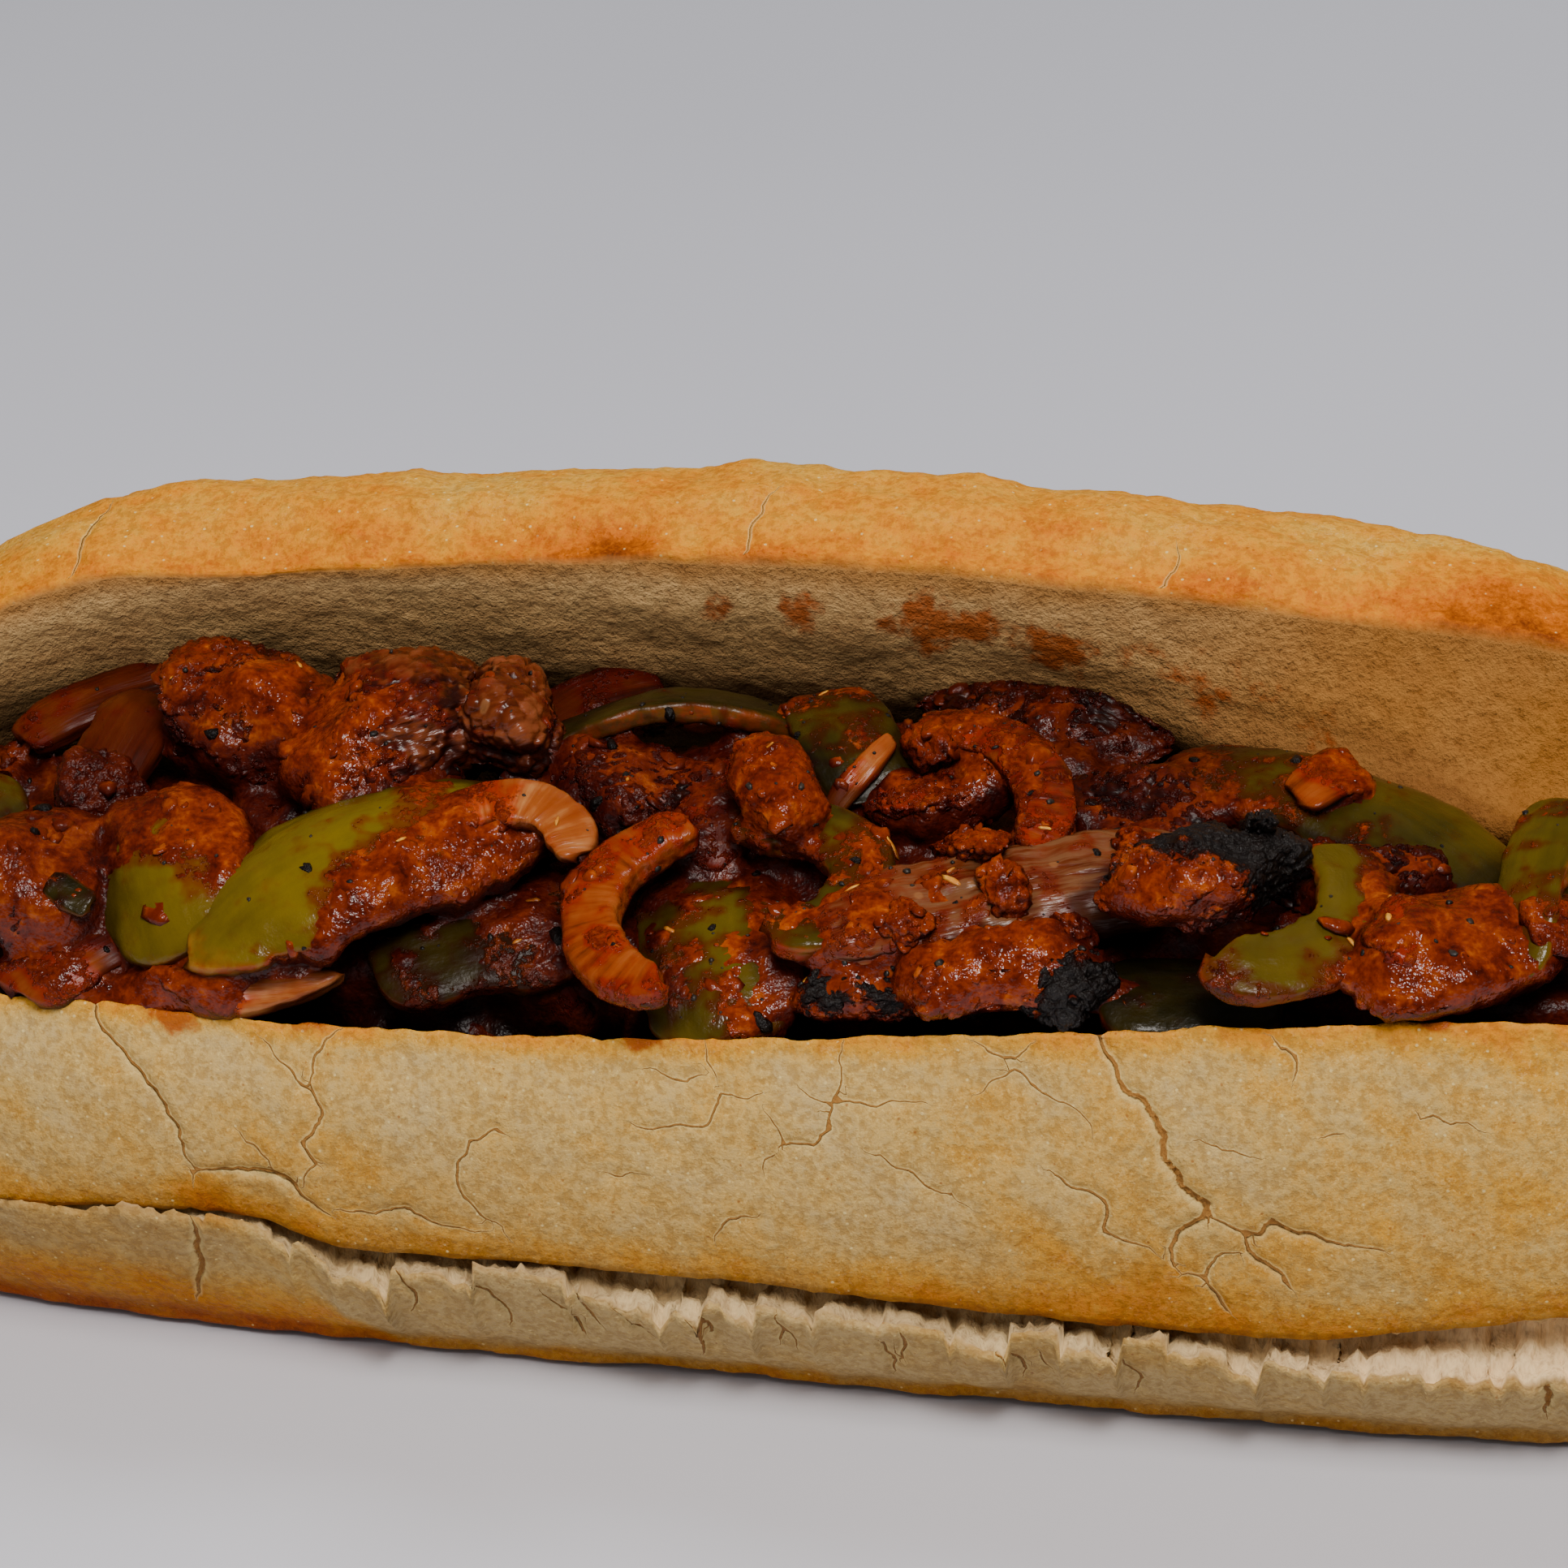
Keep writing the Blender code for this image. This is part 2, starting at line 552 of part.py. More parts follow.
def main():
    for obj in list(bpy.data.objects):
        bpy.data.objects.remove(obj, do_unlink=True)
    parts = bpy.data.collections.new(OBJECT_NAME)
    cutters = bpy.data.collections.new(OBJECT_NAME + "_cutters")
    cutters.hide_render = True
    for collection in (parts, cutters):
        bpy.context.scene.collection.children.link(collection)

    finished_object("roll", roll_mesh(), CRUST, parts)
    around = [cutter_object("roll_cutter", grown(roll_mesh(), GAP), cutters)]
    for seed, piece in enumerate(PIECES):
        obj = finished_object(piece.name, piece_mesh(piece, seed), piece.finish, parts)
        cut_by(obj, around)
        around.append(cutter_object(piece.name + "_cutter", piece_mesh(piece, seed, GAP), cutters))
    core = finished_object("filling_core", core_mesh(), SAUCE, parts)
    cut_by(core, around)


main()
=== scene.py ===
"""Looks of a hot beef sub: a split crusty roll with a saucy heap of beef, green pepper and onion.

Sizes are in millimetres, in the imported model's frame: X along the roll, the open side towards -Y and
Z up from the surface it lies on. They become metres when a mesh is finished.
"""

import itertools
import logging
import math
import random
from dataclasses import dataclass, field
from enum import Enum
from typing import Iterable, Sequence

import bmesh
import bpy
import numpy as np
from mathutils import Matrix, Vector, noise
from mathutils.bvhtree import BVHTree
from mathutils.kdtree import KDTree

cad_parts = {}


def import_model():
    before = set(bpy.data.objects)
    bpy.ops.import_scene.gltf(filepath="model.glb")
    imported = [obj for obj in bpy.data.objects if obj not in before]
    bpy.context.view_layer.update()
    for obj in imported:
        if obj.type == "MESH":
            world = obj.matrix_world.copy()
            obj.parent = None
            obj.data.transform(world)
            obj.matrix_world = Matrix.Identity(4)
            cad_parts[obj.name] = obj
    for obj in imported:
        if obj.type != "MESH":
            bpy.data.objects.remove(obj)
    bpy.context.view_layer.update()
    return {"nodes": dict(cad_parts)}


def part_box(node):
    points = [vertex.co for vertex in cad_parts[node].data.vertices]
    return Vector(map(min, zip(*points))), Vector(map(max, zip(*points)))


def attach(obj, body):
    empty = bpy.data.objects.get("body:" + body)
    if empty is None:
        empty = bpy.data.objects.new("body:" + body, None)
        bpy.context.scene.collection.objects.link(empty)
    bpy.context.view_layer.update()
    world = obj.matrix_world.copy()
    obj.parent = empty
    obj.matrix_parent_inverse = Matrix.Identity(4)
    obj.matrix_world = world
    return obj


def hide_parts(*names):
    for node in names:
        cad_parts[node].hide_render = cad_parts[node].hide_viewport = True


LOG = logging.getLogger("beef_sub")
MM = 0.001
MERGE = 1e-4  # points closer than this are one
BODY = "root"
FAR = 50.0  # a distance beyond every crack
FRONT, TOP = (0, 2), (0, 1)  # the two axes that show from the front and from above
CORE = "core"

Array = np.ndarray
Mesh = bmesh.types.BMesh
Socket = bpy.types.NodeSocket
Material = bpy.types.Material
Colour = tuple[float, float, float]
Layers = tuple[object, object, object]  # a finish's colour, roughness and relief
Stations = Sequence[tuple[float, float]]


# ---- Numbers along lines and noise ----


def eased(low: float, high: float, value: Array) -> Array:
    """Goes smoothly from 0 at low to 1 at high.

    Args:
        low: The value that gives 0.
        high: The value that gives 1; it may be the smaller one.
        value: What is measured.

    Returns:
        Numbers from 0 to 1.
    """
    share = np.clip((value - low) / (high - low), 0.0, 1.0)
    return share * share * (3 - 2 * share)


def along(stations: Stations, x: Array) -> Array:
    """Reads a smooth curve through a few stations.

    Args:
        stations: The (x, value) pairs, in the order of x.
        x: Where to read it.

    Returns:
        The values at x.
    """
    xs, values = np.array(stations, float).T
    last = len(xs) - 1
    low, high = np.maximum(np.arange(last + 1) - 1, 0), np.minimum(np.arange(last + 1) + 1, last)
    slopes = (values[high] - values[low]) / (xs[high] - xs[low])
    x = np.clip(x, xs[0], xs[-1])
    i = np.clip(np.searchsorted(xs, x, side="right") - 1, 0, last - 1)
    span = xs[i + 1] - xs[i]
    s = (x - xs[i]) / span
    return (
        (2 * s**3 - 3 * s**2 + 1) * values[i]
        + (s**3 - 2 * s**2 + s) * span * slopes[i]
        + (3 * s**2 - 2 * s**3) * values[i + 1]
        + (s**3 - s**2) * span * slopes[i + 1]
    )


def curved(at: Array, controls: Array) -> Array:
    """Reads Catmull-Rom curves, which run straight on beyond their ends.

    Args:
        at: Where to read them, counted in control points.
        controls: One row of control points for each curve.

    Returns:
        One row of points for each curve.
    """
    beyond = 2 * controls[:, [0, -1]] - controls[:, [1, -2]]
    controls = np.concatenate([beyond[:, :1], controls, beyond[:, 1:]], axis=1)
    first = np.minimum(at.astype(int), controls.shape[1] - 4)
    s = (at - first)[:, None]
    shares = (-s + 2 * s**2 - s**3, 2 - 5 * s**2 + 3 * s**3, s + 4 * s**2 - 3 * s**3, s**3 - s**2)
    return sum(controls[:, first + k] * share / 2 for k, share in enumerate(shares))


def rough(points: Array, size: float, seed: float = 0.0, octaves: int = 3) -> Array:
    """Fractal noise at each point.

    Args:
        points: Places in millimetres, one a row.
        size: The size of the largest lumps.
        seed: Which part of the endless noise is read.
        octaves: How many times finer lumps are added.

    Returns:
        Numbers of about -1 to 1.
    """
    shifted = points / size + np.array((17.3, 5.1, 9.7)) * (seed + 1)
    return np.array([noise.fractal(place, 1.0, 2.0, octaves) for place in shifted.tolist()])


def cobbles(points: Array, size: float, seed: float = 0.0) -> tuple[Array, Array]:
    """Cells like cobblestones at each point.

    Args:
        points: Places in millimetres, one a row.
        size: The size of a cell.
        seed: Which part of the endless pattern is read.

    Returns:
        How near the cell's border is, from 0 on it, and a number from 0 to 1 for the cell.
    """
    shifted = points / size + np.array((3.7, 11.9, 6.1)) * (seed + 1)
    border, shade = np.empty(len(points)), np.empty(len(points))
    for i, place in enumerate(shifted.tolist()):
        distances, centres = noise.voronoi(place)
        border[i] = distances[1] - distances[0]
        shade[i] = noise.cell(centres[0] * 7.0)
    return border, shade


# ---- Meshes ----


def moved(mesh: Mesh, places: Array) -> Mesh:
    """Puts a mesh's vertices at new places, and returns the mesh."""
    for vert, place in zip(mesh.verts, places.tolist()):
        vert.co = place
    return mesh


def copied(source: Mesh, target: Mesh) -> None:
    """Adds a copy of one mesh to another."""
    data = bpy.data.meshes.new("copy")
    source.to_mesh(data)
    target.from_mesh(data)
    bpy.data.meshes.remove(data)


def shown(name: str, data: bpy.types.ID) -> bpy.types.Object:
    """Makes an object from its data and puts it in the scene."""
    thing = bpy.data.objects.new(name, data)
    bpy.context.scene.collection.objects.link(thing)
    return thing


def unit_sheet(columns: int, rows: int) -> tuple[Mesh, Array, Array]:
    """Makes a flat grid to be wrapped into a closed shape.

    Args:
        columns: Its faces one way.
        rows: And the other.

    Returns:
        The grid, and the column and row of each of its vertices.
    """
    mesh = bmesh.new()
    bmesh.ops.create_grid(mesh, x_segments=columns, y_segments=rows, size=0.5)
    flat = np.array([vert.co[:2] for vert in mesh.verts]) + 0.5
    return mesh, np.rint(flat[:, 0] * columns).astype(int), np.rint(flat[:, 1] * rows).astype(int)


def keep(mesh: Mesh, name: str, values: Array) -> None:
    """Stores numbers on a mesh's vertices, so that they outlast the merging of vertices.

    Args:
        mesh: The mesh.
        name: What they are called.
        values: One number or one vector for each vertex.
    """
    if values.ndim == 1:
        layer = mesh.verts.layers.float.new(name)
        rows: Iterable = values.tolist()
    else:
        layer = mesh.verts.layers.float_vector.new(name)
        rows = (Vector(row) for row in values.tolist())
    for vert, value in zip(mesh.verts, rows):
        vert[layer] = value


def kept(mesh: Mesh, name: str) -> Array:
    """Reads numbers that keep() stored.

    Args:
        mesh: The mesh.
        name: What they are called.

    Returns:
        One number or one vector for each vertex.
    """
    layer = mesh.verts.layers.float.get(name) or mesh.verts.layers.float_vector.get(name)
    return np.array([vert[layer] for vert in mesh.verts])


def closed(mesh: Mesh) -> Mesh:
    """Merges seams and poles, drops what collapses and turns the faces outwards.

    Args:
        mesh: The mesh, which is changed.

    Returns:
        The same mesh.
    """
    bmesh.ops.remove_doubles(mesh, verts=mesh.verts, dist=MERGE)
    bmesh.ops.dissolve_degenerate(mesh, edges=mesh.edges, dist=MERGE)
    bmesh.ops.recalc_face_normals(mesh, faces=mesh.faces)
    return mesh


def melted(mesh: Mesh, voxel: float) -> Mesh:
    """Melts a mesh's shells into one with even faces.

    Args:
        mesh: The mesh, which is freed.
        voxel: The size of the faces.

    Returns:
        The new mesh.
    """
    data = bpy.data.meshes.new("shells")
    mesh.to_mesh(data)
    mesh.free()
    block = shown("shells", data)
    remesh = block.modifiers.new("even", "REMESH")
    remesh.mode = "VOXEL"
    remesh.voxel_size = voxel
    bpy.context.view_layer.update()
    even = bpy.data.meshes.new_from_object(block.evaluated_get(bpy.context.evaluated_depsgraph_get()))
    bpy.data.objects.remove(block)
    bpy.data.meshes.remove(data)
    mesh = bmesh.new()
    mesh.from_mesh(even)
    bpy.data.meshes.remove(even)
    return mesh


class Skin:
    """A closed mesh in millimetres whose surface is pushed in and out and carries named marks."""

    def __init__(self, mesh: Mesh) -> None:
        """Reads a mesh's places and normals.

        Args:
            mesh: A closed mesh, which the skin owns from here on.
        """
        mesh.normal_update()
        self.mesh = mesh
        self.points = np.array([vert.co for vert in mesh.verts])
        self.normals = np.array([vert.normal for vert in mesh.verts])
        self.marks: dict[str, Array] = {}

    def push(self, amount: Array) -> None:
        """Moves each vertex along its normal by its own amount."""
        self.points = self.points + self.normals * amount[:, None]

    def settle(self) -> None:
        """Takes the normals again from the places as they are now."""
        moved(self.mesh, self.points).normal_update()
        self.normals = np.array([vert.normal for vert in self.mesh.verts])

    def place(self, turn: Array, centre: Sequence[float]) -> None:
        """Turns the shape and puts the middle of its box at a point."""
        self.points = self.points @ turn.T
        self.normals = self.normals @ turn.T
        self.points += np.array(centre) - (self.points.min(axis=0) + self.points.max(axis=0)) / 2

    def finish(self, name: str, slot: str, material: Material, nodes: Sequence[str] = ()) -> None:
        """Makes the object in metres, which rides on the body in the frame.

        Args:
            name: The piece's name.
            slot: The record's material slot; not used.
            material: Its finish.
            nodes: The CAD nodes that it stands for.
        """
        moved(self.mesh, self.points * MM)
        bmesh.ops.recalc_face_normals(self.mesh, faces=self.mesh.faces)
        data = bpy.data.meshes.new(name)
        self.mesh.to_mesh(data)
        self.mesh.free()
        for mark, values in self.marks.items():
            kind = "FLOAT" if values.ndim == 1 else "FLOAT_VECTOR"
            attribute = data.attributes.get(mark) or data.attributes.new(mark, kind, "POINT")
            attribute.data.foreach_set("value" if values.ndim == 1 else "vector", values.ravel())
        data.shade_smooth()
        data.materials.append(material)
        piece = shown(name, data)
        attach(piece, BODY)
        if nodes:
            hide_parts(*nodes)
        LOG.info("%s: %d faces", name, len(data.polygons))


# ---- Finishes ----


@dataclass(frozen=True)
class Value:
    """A number that a material works out for each point, on which sums can be done."""

    graph: "Graph"
    socket: Socket

    def __add__(self, other: object) -> "Value":
        """The sum."""
        return self.graph.maths("ADD", self, other)

    def __sub__(self, other: object) -> "Value":
        """The difference."""
        return self.graph.maths("SUBTRACT", self, other)

    def __mul__(self, other: object) -> "Value":
        """The product."""
        return self.graph.maths("MULTIPLY", self, other)


class Graph:
    """A material's nodes, with a short method for each kind of node that the finishes use."""

    gloom = (0.20, 0.10, 0.05)  # what is left of a colour where little light gets in

    def __init__(self, name: str) -> None:
        """Starts a material whose patterns are measured in millimetres on the object.

        Args:
            name: The material's name.
        """
        self.material = bpy.data.materials.new(name)
        self.material.use_nodes = True
        self.tree = self.material.node_tree
        self.shader = self.tree.nodes["Principled BSDF"]
        self.place = self.stretched(self.node("ShaderNodeTexCoord").outputs["Object"], (1 / MM,) * 3)

    def node(self, kind: str, **settings: object) -> bpy.types.Node:
        """Adds a node with these settings."""
        node = self.tree.nodes.new(kind)
        for key, value in settings.items():
            setattr(node, key, value)
        return node

    def feed(self, socket: Socket, value: object) -> None:
        """Links or sets a socket.

        Args:
            socket: The input.
            value: Another node's output, a number, a vector or a colour.
        """
        if isinstance(value, Value):
            value = value.socket
        if isinstance(value, Socket):
            self.tree.links.new(value, socket)
        elif socket.type == "RGBA":
            socket.default_value = (*value, 1.0)
        else:
            socket.default_value = value

    def stretched(self, vector: object, by: Sequence[float], turn: Sequence[float] = (0, 0, 0)) -> Socket:
        """Turns a vector by Euler degrees, then scales it."""
        node = self.node("ShaderNodeMapping", vector_type="TEXTURE")
        self.feed(node.inputs["Vector"], vector)
        node.inputs["Scale"].default_value = [1 / scale for scale in by]
        node.inputs["Rotation"].default_value = [math.radians(angle) for angle in turn]
        return node.outputs["Vector"]

    def maths(self, operation: str, first: object, second: object = 0.0) -> Value:
        """One sum on two numbers."""
        node = self.node("ShaderNodeMath", operation=operation)
        self.feed(node.inputs[0], first)
        self.feed(node.inputs[1], second)
        return Value(self, node.outputs[0])

    def grain(
        self, size: float, octaves: float = 3.0, vector: object = None, harsh: float = 0.55,
        swirl: float = 0.0,
    ) -> Value:
        """Noise of a size in millimetres.

        Args:
            size: The size of its largest lumps.
            octaves: How much finer it goes.
            vector: Where it is read, or None for the object's own place.
            harsh: The strength of its finer lumps.
            swirl: How much it is distorted.

        Returns:
            A factor round 0.5.
        """
        node = self.node("ShaderNodeTexNoise")
        self.feed(node.inputs["Vector"], vector or self.place)
        settings = (("Scale", 1 / size), ("Detail", octaves), ("Roughness", harsh), ("Distortion", swirl))
        for key, value in settings:
            node.inputs[key].default_value = value
        return Value(self, node.outputs[0])

    def uneven(self, size: float, octaves: float = 3.0, vector: object = None, harsh: float = 0.55) -> Value:
        """Noise of a size in millimetres, round 0."""
        return self.grain(size, octaves, vector, harsh) - 0.5

    def cells(self, size: float, vector: object = None, feature: str = "F1") -> Value:
        """The distance within cells of a size in millimetres."""
        node = self.node("ShaderNodeTexVoronoi", feature=feature)
        self.feed(node.inputs["Vector"], vector or self.place)
        node.inputs["Scale"].default_value = 1 / size
        return Value(self, node.outputs["Distance"])

    def mark(self, name: str) -> Value:
        """A number that the mesh carries."""
        return Value(self, self.node("ShaderNodeAttribute", attribute_name=name).outputs["Fac"])

    def flat_place(self) -> Socket:
        """A cut's place in the flat piece that it was before it curled, in millimetres."""
        return self.node("ShaderNodeAttribute", attribute_name="flat").outputs["Vector"]

    def between(self, value: object, low: float, high: float) -> Value:
        """0 at low and 1 at high, smooth between."""
        node = self.node("ShaderNodeMapRange", interpolation_type="SMOOTHSTEP")
        self.feed(node.inputs["Value"], value)
        node.inputs["From Min"].default_value = low
        node.inputs["From Max"].default_value = high
        return Value(self, node.outputs["Result"])

    def ramp(self, factor: object, *stops: tuple[float, Colour]) -> Socket:
        """A colour for each value of a factor."""
        node = self.node("ShaderNodeValToRGB")
        self.feed(node.inputs["Fac"], factor)
        elements = node.color_ramp.elements
        while len(elements) < len(stops):
            elements.new(0.5)
        for element, (position, colour) in zip(elements, stops):
            element.position = position
            element.color = (*colour, 1.0)
        return node.outputs["Color"]

    def blend(self, factor: object, first: object, second: object, way: str = "MIX") -> Socket:
        """Mixes two colours by a factor."""
        node = self.node("ShaderNodeMix", data_type="RGBA", blend_type=way)
        colours = [socket for socket in node.inputs if socket.type == "RGBA"]
        self.feed(node.inputs[0], factor)
        self.feed(colours[0], first)
        self.feed(colours[1], second)
        return next(socket for socket in node.outputs if socket.type == "RGBA")

    def level(self, factor: object, first: object, second: object) -> Value:
        """Mixes two numbers by a factor."""
        node = self.node("ShaderNodeMix", data_type="FLOAT")
        numbers = [socket for socket in node.inputs if socket.type == "VALUE"]
        self.feed(node.inputs[0], factor)
        self.feed(numbers[-2], first)
        self.feed(numbers[-1], second)
        return Value(self, next(socket for socket in node.outputs if socket.type == "VALUE"))

    def relief(self, height: object, depth: float) -> Socket:
        """A normal for a height whose unit stands for `depth` millimetres."""
        node = self.node("ShaderNodeBump")
        node.inputs["Strength"].default_value = 1.0
        node.inputs["Distance"].default_value = depth * MM
        self.feed(node.inputs["Height"], height)
        return node.outputs["Normal"]

    def finish(self, colour: object, roughness: object, normal: object, **constants: object) -> Material:
        """Closes the material.

        Args:
            colour: Its base colour.
            roughness: Its roughness.
            normal: Its normal, or None for a smooth one.
            constants: Further inputs of the shader, by their names in lower case.

        Returns:
            The material.
        """
        # Painted shade: where the mark "deep" says little light gets in, the colour is darkened towards gloom
        # and the surface made rougher.
        deep = self.mark("deep")
        colour = self.blend(deep, colour, self.gloom, "MULTIPLY")
        self.feed(self.shader.inputs["Base Color"], colour)
        self.feed(self.shader.inputs["Roughness"], self.level(deep, roughness, 0.4))
        if normal:
            self.feed(self.shader.inputs["Normal"], normal)
        for key, value in constants.items():
            self.shader.inputs[key.replace("_", " ").title().replace("Ior", "IOR")].default_value = value
        return self.material


@dataclass(frozen=True)
class SauceLook:
    """Tomato sauce with pulp, as a mass of its own or as a film over another finish."""

    shadow: Colour = (0.004, 0.0008, 0.0003)
    deep: Colour = (0.034, 0.0024, 0.0003)
    red: Colour = (0.092, 0.0072, 0.0004)
    orange: Colour = (0.168, 0.0185, 0.0008)
    light: Colour = (0.31, 0.064, 0.005)
    tint: Colour = (0.90, 0.26, 0.12)  # what a thin film leaves of the colour under it
    roughness: float = 0.11

    def colour(self, graph: Graph) -> Socket:
        """The sauce's mottled colour."""
        mottle = graph.grain(2.8, 3.0, harsh=0.66, swirl=0.5) + graph.uneven(0.65, 2.0, harsh=0.6) * 0.45
        stops = (0.26, self.deep), (0.43, self.red), (0.59, self.orange), (0.80, self.light)
        return graph.ramp(mottle, *stops)

    def height(self, graph: Graph) -> Value:
        """The sauce's fine lumps."""
        return graph.grain(0.8, 1.0) * 1.1 + graph.grain(0.34, 1.0) * 0.8

    def over(self, graph: Graph, colour: object, roughness: object, height: object) -> Layers:
        """Lays sauce over a finish, thin at first, where the mesh's mark "sauce" asks for it.

        Args:
            graph: The material.
            colour: The finish's own colour.
            roughness: Its own roughness.
            height: Its own relief.

        Returns:
            The colour, the roughness and the relief with the sauce on them.
        """
        smears = graph.uneven(2.3, 2.0)
        drops = graph.uneven(0.6, 2.0, harsh=0.7)
        sauce = graph.mark("sauce") + smears * 0.9
        thin = graph.between(sauce, 0.0, 0.42)
        thick = graph.between(sauce + drops * 1.5, 0.42, 0.78)
        wetted = graph.blend(thin * 0.9, colour, self.tint, "MULTIPLY")
        return (
            graph.blend(thick, wetted, self.colour(graph)),
            graph.level(thick, roughness, self.roughness),
            graph.level(thick, height, self.height(graph)),
        )

    def mass(self) -> Material:
        """The sauce that fills the trough, darkened to nearly black in its hollows as painted shade."""
        graph = Graph("tomato_sauce")
        colour = graph.blend(graph.mark("hollow"), self.colour(graph), self.shadow)
        normal = graph.relief(self.height(graph), 0.13)
        return graph.finish(colour, self.roughness, normal, specular_ior_level=0.32)

    def pulp(self) -> Material:
        """Loose bits of tomato, glossier and brighter than the rest."""
        graph = Graph("tomato_pulp")
        colour = graph.ramp(graph.grain(1.9, 3.0), (0.38, self.red), (0.58, self.orange), (0.74, self.light))
        normal = graph.relief(graph.grain(0.35, 2.0), 0.08)
        return graph.finish(colour, 0.12, normal, specular_ior_level=0.32)


@dataclass(frozen=True)
class CrustLook:
    """Baked crust, from pale and floury to brown, with its crumb, cracks, stains and char."""

    chalk: Colour = (0.45, 0.315, 0.130)
    pale: Colour = (0.48, 0.305, 0.088)
    tan: Colour = (0.52, 0.255, 0.026)
    golden: Colour = (0.55, 0.195, 0.005)
    orange: Colour = (0.47, 0.112, 0.003)
    brown: Colour = (0.20, 0.040, 0.002)
    dark: Colour = (0.045, 0.009, 0.002)
    scorched: Colour = (0.075, 0.014, 0.004)
    flour: Colour = (0.66, 0.50, 0.20)
    dusk: Colour = (0.58, 0.46, 0.34)  # what painted shade and the brown spots leave of the colour
    grain: Colour = (0.70, 0.62, 0.50)  # and the painted shade in the fine dips
    crack_deep: Colour = (0.19, 0.075, 0.014)
    crack_lit: Colour = (0.36, 0.170, 0.040)
    crumb_cool: Colour = (0.50, 0.310, 0.125)
    # Warm crumb, darker towards the right partly as painted shade under the lid.
    crumb_warm_shaded: Colour = (0.30, 0.120, 0.022)
    crumb_torn: Colour = (0.56, 0.400, 0.200)
    crumb_fresh: Colour = (0.74, 0.520, 0.270)
    # Darker crumb: partly sauce soak and partly painted shade deep in the trough, and painted shadow under
    # the seam's lip.
    crumb_soak_shade: Colour = (0.10, 0.034, 0.010)
    stain: Colour = (0.27, 0.045, 0.003)
    clouds: Colour = (0.66, 0.55, 0.50)  # what duller parts of the crumb leave of its colour
    pore_shade: Colour = (0.34, 0.24, 0.18)  # and the painted shade in its pores

    def baked(self, graph: Graph, mottle: Value, fine: Value) -> Socket:
        """The crust's colour by how far it is baked, with flour, painted shade in its fine dips, and parts
        darkened by painted shade and brown spots.
        """
        smears = graph.stretched(graph.place, (0.05, 0.3, 0.22), (0, 38, 0))
        bake = graph.mark("bake") + graph.uneven(9.0, 2.0) * 0.34 + mottle * 0.34
        bake = bake + graph.uneven(1.0, 2.0, smears) * 0.30 + (fine - 0.5) * 0.30
        colour = graph.ramp(
            bake, (0.0, self.chalk), (0.17, self.pale), (0.32, self.tan), (0.50, self.golden),
            (0.68, self.orange), (0.86, self.brown), (1.0, self.dark),
        )
        dust = graph.between(fine + mottle * 0.5, 0.54, 0.70) * graph.between(bake, 0.62, 0.28)
        colour = graph.blend(dust * 0.42, colour, self.flour)
        # Painted shade in the fine dips: the same noise sinks the relief there.
        dip_shade = graph.between(graph.grain(0.9, 3.0, harsh=0.72), 0.58, 0.38)
        colour = graph.blend(dip_shade * 0.8, colour, self.grain, "MULTIPLY")
        # Painted shade low on the wall and near the ground, with the brown spots, from the mark "dusk".
        shade_and_spots = graph.mark("dusk") + mottle * 0.5
        colour = graph.blend(shade_and_spots, colour, self.dusk, "MULTIPLY")
        patches = graph.between(mottle, -0.02, 0.10)
        dots = graph.between(graph.cells(1.3), 0.15, 0.06)
        colour = graph.blend(dots * graph.between(patches, 1.0, 0.0) * 0.7, colour, self.flour)
        return graph.blend(dots * patches * 0.6, colour, self.brown)

    def crumb(self, graph: Graph, mottle: Value, holes: Value) -> Socket:
        """The crumb's colour: cool; warm, with painted shade; torn; and darker where sauce soaks it and shade
        is painted.
        """
        shade = graph.between(holes, 0.45, 1.05)
        clouds = graph.between(mottle, -0.15, 0.15)
        colour = graph.blend(graph.mark("warm_and_shaded"), self.crumb_cool, self.crumb_warm_shaded)
        colour = graph.blend(clouds * 0.35, colour, self.clouds, "MULTIPLY")
        torn = graph.blend(graph.mark("fresh"), self.crumb_torn, self.crumb_fresh)
        colour = graph.blend(graph.mark("torn"), colour, torn)
        # Painted shade in the pores, where the relief sinks.
        colour = graph.blend(shade * 0.7, colour, self.pore_shade, "MULTIPLY")
        return graph.blend(graph.mark("soak_and_shade"), colour, self.crumb_soak_shade)

    def material(self) -> Material:
        """Builds the finish."""
        graph = Graph("baked_crust")
        mottle = graph.uneven(2.4, 3.0, harsh=0.65)
        fine = graph.grain(0.40, 2.0, harsh=0.7)
        colour = self.baked(graph, mottle, fine)

        hairs = graph.grain(0.55, 2.0, graph.stretched(graph.place, (1.0, 0.7, 0.22)), harsh=0.65)
        holes = graph.grain(0.75, 3.0, harsh=0.75) * 1.5 - 0.2
        holes = graph.level(graph.mark("torn"), holes, hairs * 1.15)
        crumb = graph.mark("crumb")
        colour = graph.blend(crumb, colour, self.crumb(graph, mottle, holes))

        lines = graph.maths("ABSOLUTE", graph.mark("crack"))
        near = graph.between(graph.mark("near"), 1.1, 0.6)
        lips = graph.between(lines, 4.0, 1.0) * near
        colour = graph.blend(lips * 0.4, colour, self.flour)
        # The crack's line is darker brown, partly its own colour and partly painted shade in its groove; its
        # two browns mix at random.
        line = graph.between(lines + graph.uneven(0.45, 2.0, harsh=0.7) * 1.9, 1.3, 0.7) * near
        colour = graph.blend(line, colour, graph.blend(fine, self.crack_deep, self.crack_lit))

        stain = graph.between(graph.mark("stain") + mottle * 1.3, 0.35, 0.72)
        colour = graph.blend(stain * 0.85, colour, self.stain)
        char = graph.between(graph.mark("char") + mottle * 1.5, 0.42, 0.75)
        colour = graph.blend(char * 0.85, colour, self.scorched)

        furrow = graph.between(lines, 1.3, 0.5) * near
        height = graph.grain(0.9, 3.0, harsh=0.7) * 1.7 - furrow * 0.9
        height = graph.level(crumb, height, holes * -1.7)
        roughness = graph.level(crumb, graph.level(stain, 0.58, 0.32), 0.92)
        return graph.finish(colour, roughness, graph.relief(height, 0.17), specular_ior_level=0.14)


